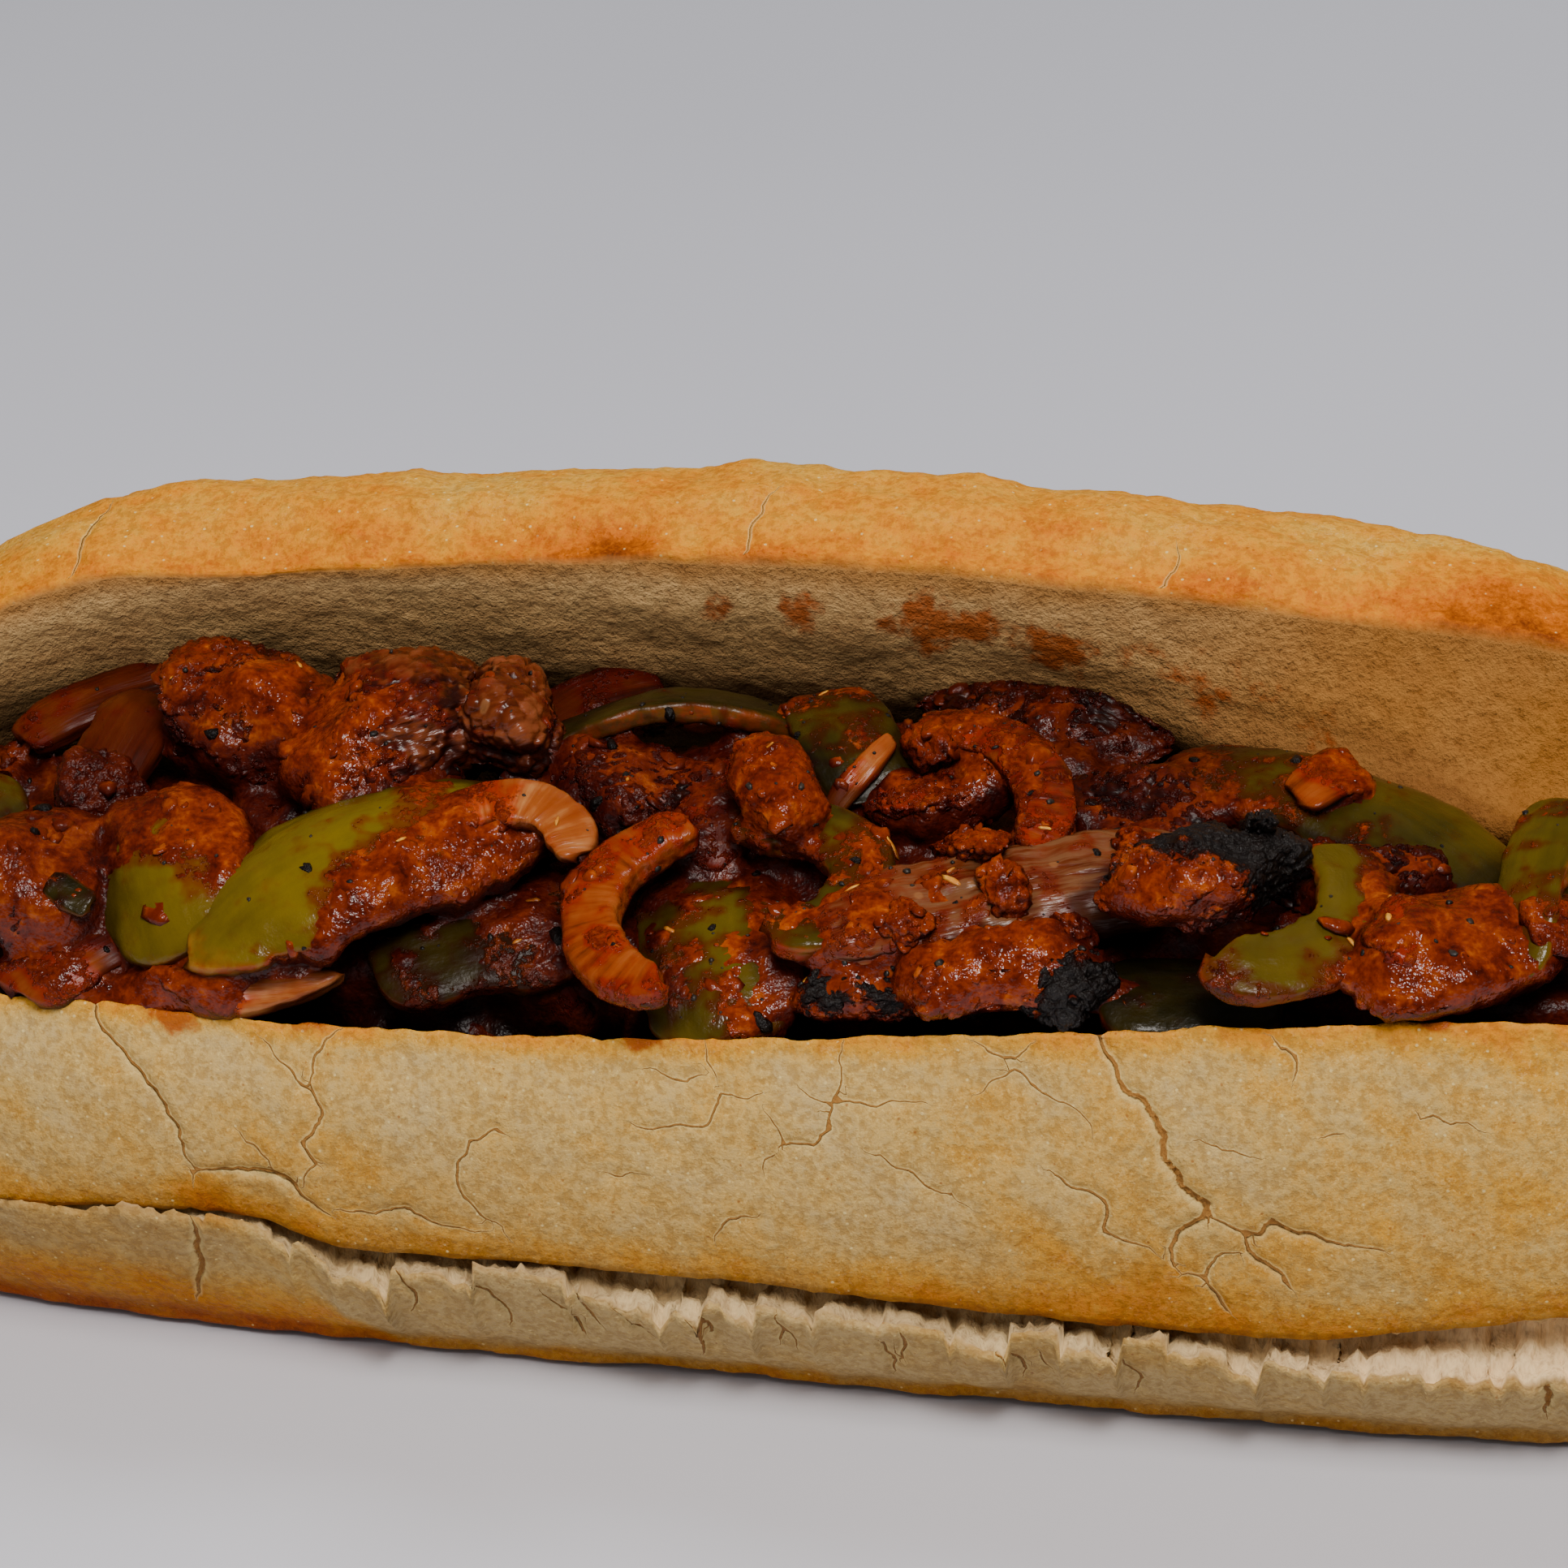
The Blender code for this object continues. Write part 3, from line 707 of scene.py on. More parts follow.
class Coated:
    """A food's finish under a film of sauce. Each kind of food gives its name, relief and colours."""

    name = "food"
    depth = 0.2  # of its relief, in millimetres
    specular = 0.3
    clear = 0.0  # how much light passes through it
    # What painted shade leaves of a food's colour.
    gloom = Graph.gloom

    def bare(self, graph: Graph) -> Layers:
        """What lies under the sauce."""
        raise NotImplementedError

    def material(self, sauce: SauceLook) -> Material:
        """Builds the finish.

        Args:
            sauce: The sauce that lies on it.

        Returns:
            The material.
        """
        graph = Graph(self.name)
        graph.gloom = self.gloom
        colour, rough, height = sauce.over(graph, *self.bare(graph))
        return graph.finish(
            colour, rough, graph.relief(height, self.depth), specular_ior_level=self.specular,
            subsurface_weight=self.clear, subsurface_scale=MM,
        )


@dataclass(frozen=True)
class PepperLook(Coated):
    """Cooked green pepper: glossy skin over paler flesh."""

    bright: Colour = (0.116, 0.075, 0.0010)
    olive: Colour = (0.076, 0.049, 0.0012)
    green: Colour = (0.044, 0.029, 0.0016)
    deep: Colour = (0.012, 0.009, 0.0010)
    flesh: Colour = (0.25, 0.105, 0.012)
    flesh_dark: Colour = (0.08, 0.024, 0.002)
    flesh_red: Colour = (0.21, 0.036, 0.003)
    name = "green_pepper"
    specular = 0.26
    # What painted shade leaves of the pepper's colour.
    gloom = (0.30, 0.27, 0.08)

    def bare(self, graph: Graph) -> Layers:
        """What lies under the sauce."""
        flat = graph.flat_place()
        veins = graph.uneven(1.0, 3.0, graph.stretched(flat, (0.12, 0.8, 0.8)))
        tone = graph.mark("tone") + graph.uneven(6.0, 3.0, flat) * 0.75 + veins * 0.35
        skin = graph.ramp(tone, (0.0, self.bright), (0.30, self.olive), (0.58, self.green), (0.95, self.deep))
        flesh = graph.blend(graph.mark("tone"), self.flesh, self.flesh_dark)
        flesh = graph.blend(graph.between(graph.grain(1.4, 4.0), 0.42, 0.62), flesh, self.flesh_red)
        colour = graph.blend(graph.mark("cut"), skin, flesh)
        height = graph.grain(0.5, 2.0, flat) * 0.3 + veins * 0.4
        return colour, graph.level(graph.mark("cut"), 0.17, 0.30), height


@dataclass(frozen=True)
class OnionLook(Coated):
    """Soft onion, clear and streaked."""

    white: Colour = (0.38, 0.165, 0.050)
    glassy: Colour = (0.235, 0.056, 0.009)
    stained: Colour = (0.18, 0.028, 0.002)
    dark: Colour = (0.055, 0.008, 0.001)
    name = "cooked_onion"
    depth = 0.22
    specular = 0.25
    clear = 0.15

    def bare(self, graph: Graph) -> Layers:
        """What lies under the sauce."""
        flat = graph.flat_place()
        streaks = graph.uneven(0.75, 3.0, graph.stretched(flat, (0.07, 1.0, 1.0)))
        tone = graph.mark("tone") + graph.uneven(4.0, 3.0, flat) * 0.9 + streaks * 0.9
        stops = (0.0, self.white), (0.36, self.glassy), (0.70, self.stained), (1.0, self.dark)
        colour = graph.ramp(tone, *stops)
        return colour, 0.22, streaks * 0.8


@dataclass(frozen=True)
class BeefLook(Coated):
    """Moist beef: bundles of fibres end on, browned, with sauce in its crevices."""

    pink: Colour = (0.150, 0.036, 0.011)
    brown: Colour = (0.080, 0.013, 0.002)
    dark: Colour = (0.020, 0.003, 0.001)
    grey: Colour = (0.125, 0.056, 0.022)
    fat: Colour = (0.20, 0.080, 0.026)
    name = "braised_beef"
    depth = 0.24
    specular = 0.32

    def bare(self, graph: Graph) -> Layers:
        """What lies under the sauce."""
        flat = graph.flat_place()
        fibres = graph.uneven(0.7, 3.0, graph.stretched(flat, (0.16, 1.0, 1.0)))
        shade = graph.mark("shade") + graph.uneven(4.0, 3.0, flat) * 0.8 + fibres * 0.7
        colour = graph.ramp(shade, (0.0, self.dark), (0.42, self.brown), (0.85, self.pink))
        colour = graph.blend(graph.mark("fibre") * graph.between(fibres, -0.12, 0.10), colour, self.grey)
        colour = graph.blend(graph.between(graph.cells(3.4, flat), 0.16, 0.09) * 0.6, colour, self.fat)
        return colour, 0.24, fibres * 0.9


@dataclass(frozen=True)
class CharLook(Coated):
    """Black burnt crust with a little sauce."""

    black: Colour = (0.0030, 0.0026, 0.0028)
    ash: Colour = (0.0140, 0.0100, 0.0085)
    name = "charred_crust"
    depth = 0.3

    def bare(self, graph: Graph) -> Layers:
        """What lies under the sauce."""
        crackle = graph.cells(0.8, None, "DISTANCE_TO_EDGE")
        colour = graph.blend(graph.grain(1.2, 4.0), self.black, self.ash)
        return colour, 0.30, crackle * 0.8 + graph.grain(0.35, 3.0)


@dataclass(frozen=True)
class PlainLook:
    """A small thing's finish: two colours, mottled."""

    name: str
    first: Colour
    second: Colour
    roughness: float
    size: float = 1.0
    depth: float = 0.1  # of its relief, in millimetres

    def material(self) -> Material:
        """Builds the finish."""
        graph = Graph(self.name)
        grain = graph.grain(self.size, 2.0)
        colour = graph.ramp(grain, (0.38, self.first), (0.62, self.second))
        return graph.finish(colour, self.roughness, graph.relief(grain, self.depth) if self.depth else None)


# ---- The roll ----

# One cross-section as (y, z), from the front cut edge down, under the roll and up to the lid's edge.
# Points 3 to 8 are the torn seam: the lip, the hollow behind it and the top of the lower crust.
OUTER_OPEN = (
    (-35.5, 38.5), (-38.0, 31.0), (-38.5, 23.0), (-37.8, 15.0), (-36.8, 14.4), (-33.8, 14.2), (-34.2, 12.4),
    (-37.0, 11.9), (-38.6, 11.0), (-32.4, 2.9), (-24.6, 0.0), (25.0, 0.0), (32.4, 2.9), (37.0, 13.0),
    (38.5, 30.0), (37.0, 47.0), (31.0, 61.0), (21.5, 69.5), (12.0, 71.5), (4.0, 68.0),
)
OUTER_CLOSED = (
    (-33.0, 36.0), (-37.0, 29.0), (-38.5, 22.0), (-37.6, 14.0), (-37.1, 13.6), (-36.5, 13.5), (-36.4, 12.4),
    (-36.9, 11.6), (-37.0, 10.5), (-32.4, 2.9), (-24.6, 0.0), (25.0, 0.0), (32.4, 2.9), (37.0, 12.0),
    (38.5, 24.0), (35.0, 36.0), (24.0, 45.5), (4.0, 50.0), (-17.0, 47.0), (-33.0, 36.0),
)
# The crumb of the trough, from under the lid's cut edge down and back up to the front cut edge.
INNER_MIDDLE = (
    (5.0, 62.5), (7.5, 56.5), (10.0, 51.5), (16.0, 44.0), (22.0, 35.0), (20.0, 24.0), (10.0, 15.5),
    (-6.0, 13.0), (-20.0, 17.0), (-30.0, 27.0), (-34.0, 35.5),
)
INNER_RIGHT = (
    (3.0, 61.0), (0.5, 54.0), (-2.5, 48.5), (4.0, 43.0), (16.0, 35.0), (17.0, 24.0), (8.0, 15.5),
    (-6.0, 13.0), (-20.0, 17.0), (-30.0, 27.0), (-34.0, 35.5),
)
# Openings and heights along the roll, as (x, value).
MOUTH = (
    (-108, 0.0), (-100, 0.4), (-88, 0.74), (-73, 0.9), (-58, 0.95), (-40, 0.98), (-10, 1.0), (40, 1.0),
    (68, 0.97), (82, 0.85), (96, 0.52), (104, 0.2), (108, 0.0),
)
WALL = (
    (-120, 30.0), (-106, 33.5), (-73, 36.3), (-40, 36.4), (-10, 37.9), (20, 41.2), (45, 44.3), (70, 46.8),
    (90, 45.0), (107, 38.0), (120, 34.0),
)
LID = (
    (-120, 54.0), (-83, 67.5), (-53, 68.2), (-17, 70.8), (5, 71.5), (40, 69.8), (66, 68.2), (90, 62.5),
    (120, 50.0),
)
LID_EDGE = (
    (-120, 0.0), (-85, 3.2), (-72, 2.2), (-58, 0.3), (30, 0.6), (52, 0.8), (64, 2.2), (75, 4.2), (90, 4.0),
    (120, 0.0),
)
LIP = (
    (-120, 15.0), (-72, 15.5), (-56, 17.2), (-46, 17.4), (-39, 15.4), (0, 15.6), (48, 14.8), (62, 17.0),
    (73, 18.6), (90, 17.0), (120, 15.0),
)
# The height of the torn seam: from the lip down to the ragged top of the lower crust.
SEAM = (
    (-120, 0.8), (-74, 1.0), (-58, 1.3), (-51, 1.8), (-43, 3.2), (-38, 4.8), (-32, 4.4), (-24, 3.6),
    (-12, 4.8), (0, 5.2), (20, 5.4), (27, 4.2), (42, 4.4), (49, 5.4), (56, 7.2), (62, 7.4), (71, 7.4),
    (82, 4.4), (120, 1.2),
)


@dataclass(frozen=True)
class RollForm:
    """Where the crust and the trough run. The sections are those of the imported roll, at its size."""

    length: float
    width: float
    height: float
    nominal: Colour = (240.0, 77.0, 71.5)
    tip_height: float = 18.0
    width_taper: float = 4.0
    top_taper: float = 5.0
    bottom_taper: float = 14.0
    end_roundness: float = 2.2
    lip: int = 3
    plate: int = 8
    foot: int = 10
    lid: int = 15
    back_first: int = 13
    plate_width: float = 5.5
    rim_drop: float = 3.0
    least_mouth: float = 0.12
    wall_follows: tuple[float, float, float] = (1.0, 0.7, 0.3)
    trough_follows: float = 0.8
    right_turn: tuple[float, float] = (15.0, 65.0)
    lid_rise: tuple[float, float] = (25.0, 65.0)
    heap_front: int = 11
    heap_back: int = 3

    @property
    def edge(self) -> int:
        """The control point of the lid's cut edge, where the crust ends and the crumb begins."""
        return len(OUTER_OPEN) - 1

    @classmethod
    def of_frame(cls) -> "RollForm":
        """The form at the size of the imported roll."""
        low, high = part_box("roll")
        return cls(*((high - low) / MM))

    def mouth(self, x: Array) -> Array:
        """How open the roll is at x, from 0 for shut to 1."""
        opening = np.minimum(along(MOUTH, x), 1.0)
        return np.where(opening > self.least_mouth, opening, 0.0)

    def tapered(self, x: Array, y: Array, z: Array) -> Array:
        """Draws points of the full section in towards the roll's ends.

        Args:
            x: Where each section stands.
            y: The sections' points across.
            z: And their heights.

        Returns:
            The places, as one array whose last axis is x, y and z.
        """
        reach = np.minimum(np.abs(x / (self.nominal[0] / 2)), 1.0)
        narrow = (1 - reach**self.width_taper) ** (1 / self.end_roundness)
        power = np.where(z > self.tip_height, self.top_taper, self.bottom_taper)
        low = (1 - reach**power) ** (1 / self.end_roundness)
        places = np.stack(
            [x + 0 * y, y * narrow, self.tip_height + (z - self.tip_height) * low], axis=-1
        )
        return places * np.array((self.length, self.width, self.height)) / np.array(self.nominal)

    def lid_height(self, x: Array, z: Array) -> Array:
        """The height of the back's and lid's points, which rise and fall along the roll."""
        return z * (1 + (along(LID, x) / self.nominal[2] - 1) * eased(*self.lid_rise, z))

    def teeth(self, x: Array) -> Array:
        """How far the torn top of the lower crust rises and falls along the roll."""
        line = np.concatenate([x, 0 * x, 0 * x], axis=1)
        places = x[:, 0] / self.plate_width + 0.6 * rough(line, 7.0, 4, 2)
        plates = np.array([noise.cell((place, 0.5, 0.5)) for place in places]) - 0.5
        share = places % 1.0
        notches = eased(0.12, 0.0, np.minimum(share, 1 - share))
        ragged = 1.8 * plates + 1.6 * (share - 0.5) + 1.3 * notches - 0.3 + 0.8 * rough(line, 1.2, 3, 3)
        strength = 0.2 + 0.8 * eased(-56.0, -40.0, x)
        return strength * np.clip(ragged, -1.9, 2.2)[:, None]

    def crust(self, x: Array) -> Array:
        """The outer control points of the sections.

        Args:
            x: Where the sections stand, as a column.

        Returns:
            The places, one row per section.
        """
        opening, wall = self.mouth(x), along(WALL, x) / OUTER_OPEN[0][1]
        y_open, z_open = (values + 0 * x for values in np.array(OUTER_OPEN).T)
        y_shut, z_shut = (values + 0 * x for values in np.array(OUTER_CLOSED).T)
        for i, follows in enumerate(self.wall_follows):
            for z in (z_open, z_shut):
                z[:, i : i + 1] *= 1 + (wall - 1) * follows
        top, low = OUTER_OPEN[self.lip][1], OUTER_OPEN[self.plate][1]
        rise = along(LIP, x) - top
        seam = along(SEAM, x) + self.teeth(x)
        for i in range(self.lip, self.plate + 1):
            share = (top - OUTER_OPEN[i][1]) / (top - low)
            for z in (z_open, z_shut):
                z[:, i : i + 1] += rise - (seam - (top - low)) * share
        z_open[:, self.back_first :] = self.lid_height(x, z_open[:, self.back_first :])
        z_open[:, -1:] += along(LID_EDGE, x)
        y_shut[:, -1:], z_shut[:, -1:] = y_shut[:, :1], z_shut[:, :1]
        return self.tapered(x, y_shut + (y_open - y_shut) * opening, z_shut + (z_open - z_shut) * opening)

    def trough(self, x: Array) -> Array:
        """The trough's control points, from the lid's cut edge to the front cut edge.

        Args:
            x: Where the sections stand, as a column.

        Returns:
            The places, one row per section.
        """
        crust = self.crust(x)
        rim, lid_edge = crust[:, :1], crust[:, -1:]
        turn = eased(*self.right_turn, x)
        y, z = (
            middle + (right - middle) * turn
            for middle, right in zip(np.array(INNER_MIDDLE).T, np.array(INNER_RIGHT).T)
        )
        places = self.tapered(x, y, z)
        places[:, -1, 2] = rim[:, 0, 2] - self.rim_drop
        wall = along(WALL, x[:, 0]) / OUTER_OPEN[0][1]
        places[:, -2, 2] *= 1 + (wall - 1) * self.trough_follows
        places = rim + (places - rim) * self.mouth(x)[..., None]
        return np.concatenate([lid_edge, places, rim], axis=1)

    def slope(self, x: float) -> tuple[Vector, Vector, Vector]:
        """The heap's slope at x: its foot at the front wall, the way up it and the way out of it."""
        trough = self.trough(np.array([[x]]))[0]
        foot = Vector(trough[self.heap_front])
        rise = Vector(trough[self.heap_back]) - foot
        return foot, rise, Vector((1, 0, 0)).cross(rise).normalized()


@dataclass(frozen=True)
class Crack:
    """A crack in the crust: a few points as (x, z) on the front wall, or (x, y) on the lid."""

    points: tuple[tuple[float, float], ...]
    width: float = 0.16
    depth: float = 0.25
    lift: float = 0.0  # how far the crust on its left stands proud
    jitter: float = 0.16

    def path(self, seed: int) -> Array:
        """The crack's points with ever finer turns between them.

        Args:
            seed: Starts the random turns.

        Returns:
            One point a row.
        """
        turns = random.Random(seed)
        path = [Vector(point) for point in self.points]
        for _ in range(3):
            finer = [path[0]]
            for start, end in zip(path, path[1:]):
                aside = (end - start).orthogonal() * turns.uniform(-self.jitter, self.jitter)
                finer += [(start + end) / 2 + aside, end]
            path = finer
        return np.array(path)


def cracks(*rows: tuple) -> tuple[Crack, ...]:
    """A crack for each row of its values."""
    return tuple(Crack(*row) for row in rows)


# The points of each crack, its width and depth, and how far one side stands proud.
WALL_CRACKS = cracks(
    (((-33.5, 13.6), (-32.0, 10.5), (-32.6, 7.5)), 0.28, 0.6),
    (((-26.8, 12.6), (-24.4, 9.5), (-23.6, 6.4)), 0.3, 0.6),
    (((-20.0, 12.0), (-17.2, 8.6), (-16.6, 5.8)), 0.3, 0.6),
    (((-13.4, 11.6), (-11.0, 8.8), (-9.4, 7.4)), 0.26, 0.5),
    (((-6.6, 11.0), (-5.4, 7.0), (-5.9, 4.6)), 0.24, 0.5),
    (((2.0, 10.8), (3.4, 7.6)), 0.22, 0.4),
    (((11.0, 10.6), (12.4, 7.0), (12.0, 4.6)), 0.26, 0.5),
    (((25.2, 10.6), (26.6, 7.4)), 0.22, 0.4),
    (((33.0, 10.4), (34.6, 7.0), (34.0, 5.0)), 0.26, 0.5),
    (((-61.6, 37.5), (-61.7, 35.1), (-57.3, 31.0), (-53.4, 25.7), (-53.1, 23.7),
        (-52.3, 20.5)), 0.3, 0.5, 0.2),
    (((-52.6, 21.4), (-48.1, 22.2), (-44.3, 22.2), (-42.4, 20.7), (-39.5, 18.1)), 0.3, 0.6, -0.5),
    (((-45.7, 34.5), (-41.1, 30.9), (-39.8, 28.5), (-41.8, 25.6), (-40.3, 23.7),
        (-41.7, 21.3)), 0.26, 0.4, 0.1),
    (((-38.7, 36.1), (-40.8, 33.6), (-41.0, 31.1)), 0.2),
    (((-47.9, 26.3), (-45.9, 24.4), (-44.2, 22.2)), 0.16),
    (((-22.7, 28.1), (-23.7, 28.8), (-27.5, 24.8), (-27.5, 23.4), (-25.5, 19.7),
        (-22.7, 17.2)), 0.22, 0.35),
    (((-38.8, 19.0), (-36.1, 18.8), (-32.0, 19.7), (-29.7, 18.4), (-24.6, 18.1)), 0.22, 0.35, -0.2),
    (((-10.6, 35.4), (-6.6, 34.6), (-5.0, 35.3)), 0.14),
    (((-11.7, 30.6), (-10.1, 30.0), (-4.8, 30.8), (-3.6, 33.9), (0.2, 34.2)), 0.18, 0.3),
    (((-5.2, 38.1), (-5.0, 36.6), (-3.9, 34.9)), 0.12),
    (((0.5, 32.8), (2.1, 29.6), (5.0, 30.0), (6.5, 31.7), (6.5, 33.9), (7.1, 39.2)), 0.22, 0.35, 0.1),
    (((3.4, 35.2), (6.8, 34.1), (9.9, 34.2), (15.1, 34.9)), 0.16),
    (((1.7, 28.8), (0.8, 28.4), (0.6, 26.6)), 0.12),
    (((9.5, 30.1), (12.1, 28.8), (15.1, 26.9), (19.3, 25.2)), 0.16, 0.3),
    (((-3.9, 19.3), (-3.2, 21.0), (-1.5, 22.2), (0.2, 22.5)), 0.2, 0.3),
    (((-14.4, 25.5), (-12.4, 25.0), (-9.7, 25.4)), 0.12),
    (((18.6, 40.6), (20.6, 39.5), (22.2, 39.4), (23.8, 40.7)), 0.16),
    (((19.2, 35.9), (22.2, 38.4), (24.9, 36.6), (29.7, 33.4)), 0.16),
    (((29.9, 43.5), (30.5, 40.3), (34.0, 36.8), (36.0, 33.9), (36.4, 31.2), (40.1, 27.4), (36.8, 22.7),
        (37.3, 20.7)), 0.55, 0.9, 0.15),
    (((40.1, 26.4), (43.2, 25.0), (44.8, 24.9), (45.7, 26.4), (50.5, 24.7), (55.6, 24.2)), 0.4, 0.6, 0.1),
    (((43.2, 25.0), (43.6, 23.4), (46.8, 21.0), (47.7, 19.5)), 0.36, 0.6),
    (((43.6, 23.2), (40.5, 21.3), (40.2, 20.1), (37.9, 20.0)), 0.26, 0.5),
    (((40.2, 19.9), (41.2, 18.1), (42.4, 16.2)), 0.26, 0.5, 0.2),
    (((25.8, 29.8), (27.4, 28.5), (31.0, 27.1), (30.8, 24.0), (32.8, 23.2), (35.7, 22.0)), 0.26, 0.4),
    (((38.6, 33.8), (41.2, 33.0), (44.4, 32.5)), 0.14),
    (((44.7, 43.5), (45.6, 42.4), (46.9, 41.8), (46.9, 39.8)), 0.2, 0.3),
    (((57.5, 37.8), (57.9, 37.0), (60.7, 36.7), (63.5, 36.2)), 0.16),
    (((49.5, 34.9), (51.4, 35.3)), 0.14),
    (((-52.8, 16.5), (-52.6, 10.8), (-54.0, 5.0)), 0.6, 0.9),
    (((-16.5, 13.2), (-16.0, 10.5), (-14.8, 8.0)), 0.3, 0.5),
    (((-5.3, 12.2), (-4.6, 9.5), (-4.8, 7.6)), 0.3, 0.6),
    (((1.6, 12.4), (2.2, 9.8), (1.6, 8.0)), 0.26, 0.4),
    (((13.0, 11.8), (13.4, 9.4), (13.0, 7.2)), 0.3, 0.5),
    (((21.6, 11.2), (23.4, 9.2), (24.0, 6.6)), 0.4, 0.6),
    (((70.4, 13.0), (70.8, 9.6), (70.6, 6.2)), 0.5, 0.8),
)
LID_CRACKS = cracks(
    (((-7.2, 13.0), (-8.7, 8.0), (-8.8, 1.0)), 0.16, 0.3),
    (((-72.4, 12.0), (-73.2, 7.0), (-73.3, 0.0)), 0.2, 0.4),
    (((31.0, 8.5), (30.0, 4.0), (29.2, 0.0)), 0.16, 0.3),
)


@dataclass(frozen=True)
class Spot:
    """A round mark on the crust: its place, how far it reaches and how strong it is."""

    x: float
    y: float
    z: float
    reach: float
    strength: float = 1.0
    flat: float = 1.0  # how far it is squeezed in height

    def on(self, points: Array) -> Array:
        """Its strength at each point."""
        away = (points - np.array((self.x, self.y, self.z))) * np.array((1, self.flat, self.flat))
        return self.strength * np.exp(-((np.linalg.norm(away, axis=1) / self.reach) ** 2))


def spots(*rows: tuple[float, ...]) -> tuple[Spot, ...]:
    """A spot for each row of its numbers."""
    return tuple(Spot(*row) for row in rows)


# Where the crust is baked darker.
BROWN_SPOTS = spots(
    (35, -38, 19, 3.2, 0.26), (-51.2, -38, 19.4, 2.4, 0.42), (-50, -38, 16.6, 3.0, 0.2, 2.0),
    (-40, -38, 25, 8, 0.08), (-20.5, 4, 68, 3.6, 0.3), (-6.9, 4, 67, 2, 0.2), (60, 5, 68, 6, 0.26),
    (37, -37, 16, 7, 0.2), (-30, -37, 16.5, 9, 0.12), (22, -38, 16, 9, 0.2),
    (64, -37, 11.6, 5.5, 0.38, 3.0), (24, -34, 3.4, 2.4, 0.3), (30, -38, 31, 8, 0.08),
    (61, -38, 30, 9, 0.12), (47, -38, 25, 6, 0.14, 0.5), (-27, 3, 66, 5, 0.14), (-16, 12, 70, 5, 0.1),
    (18, 10, 70, 4, 0.14), (35, 5, 68, 4, 0.12), (70, 8, 66, 8, 0.2), (20, -37, 37, 5, 0.12),
)
# Bumps of the lid that show on its outline.
LID_BUMPS = spots(
    (-20.1, 17.8, 71.5, 1.3, 0.9), (-11, 21, 70.5, 3.0, 0.9, 0.5), (-5, 22, 70.5, 2.2, 0.5, 0.5),
    (11.5, 21, 70, 2.8, 0.8, 0.5), (25, 20, 69, 4.0, 0.5, 0.5), (-44, 20, 68, 2.2, 0.6, 0.5),
    (-66, 20, 67, 3.5, 0.7, 0.5), (43, 20, 68, 3.0, 0.5, 0.5),
)
# Where sauce has stained the wall and the crumb.
STAIN_SPOTS = spots(
    (-54.5, -35.5, 36, 3.4, 1.0, 1.6), (-42, -35.5, 36.5, 2.4, 0.8, 1.8), (-11, -35.5, 38.3, 3.0, 1.0, 1.6),
    (58.5, -35, 46.0, 1.9, 1.2, 1.4), (8, 5, 61, 5, 0.8), (20, 5, 59, 4, 0.85), (-4, 6, 62, 3, 0.85),
    (33, 2, 57, 5, 0.75), (-12, 5, 61, 2.2, 0.9), (45, 0, 55, 4, 0.65), (27, 4, 59, 3, 0.5),
    (14, 5, 62, 2.5, 0.5), (39, 2, 57, 3, 0.5),
)
# Where the crust is burnt.
CHAR_SPOTS = spots(
    (-19.3, 5.0, 69.0, 1.5, 0.62), (-17.0, 4.2, 68.2, 1.0, 0.5), (-26.5, 3.6, 67.3, 0.9, 0.35),
    (-6.9, 3.6, 68.2, 0.9, 0.6, 2.2), (58.5, 4.6, 69.4, 1.5, 0.55), (61.5, 4.8, 69.4, 1.2, 0.5),
    (-20.1, 17.8, 70.4, 0.7, 0.5), (65.0, 5.0, 68.5, 1.6, 0.42), (20.6, -37.5, 39.4, 0.5, 0.8),
)


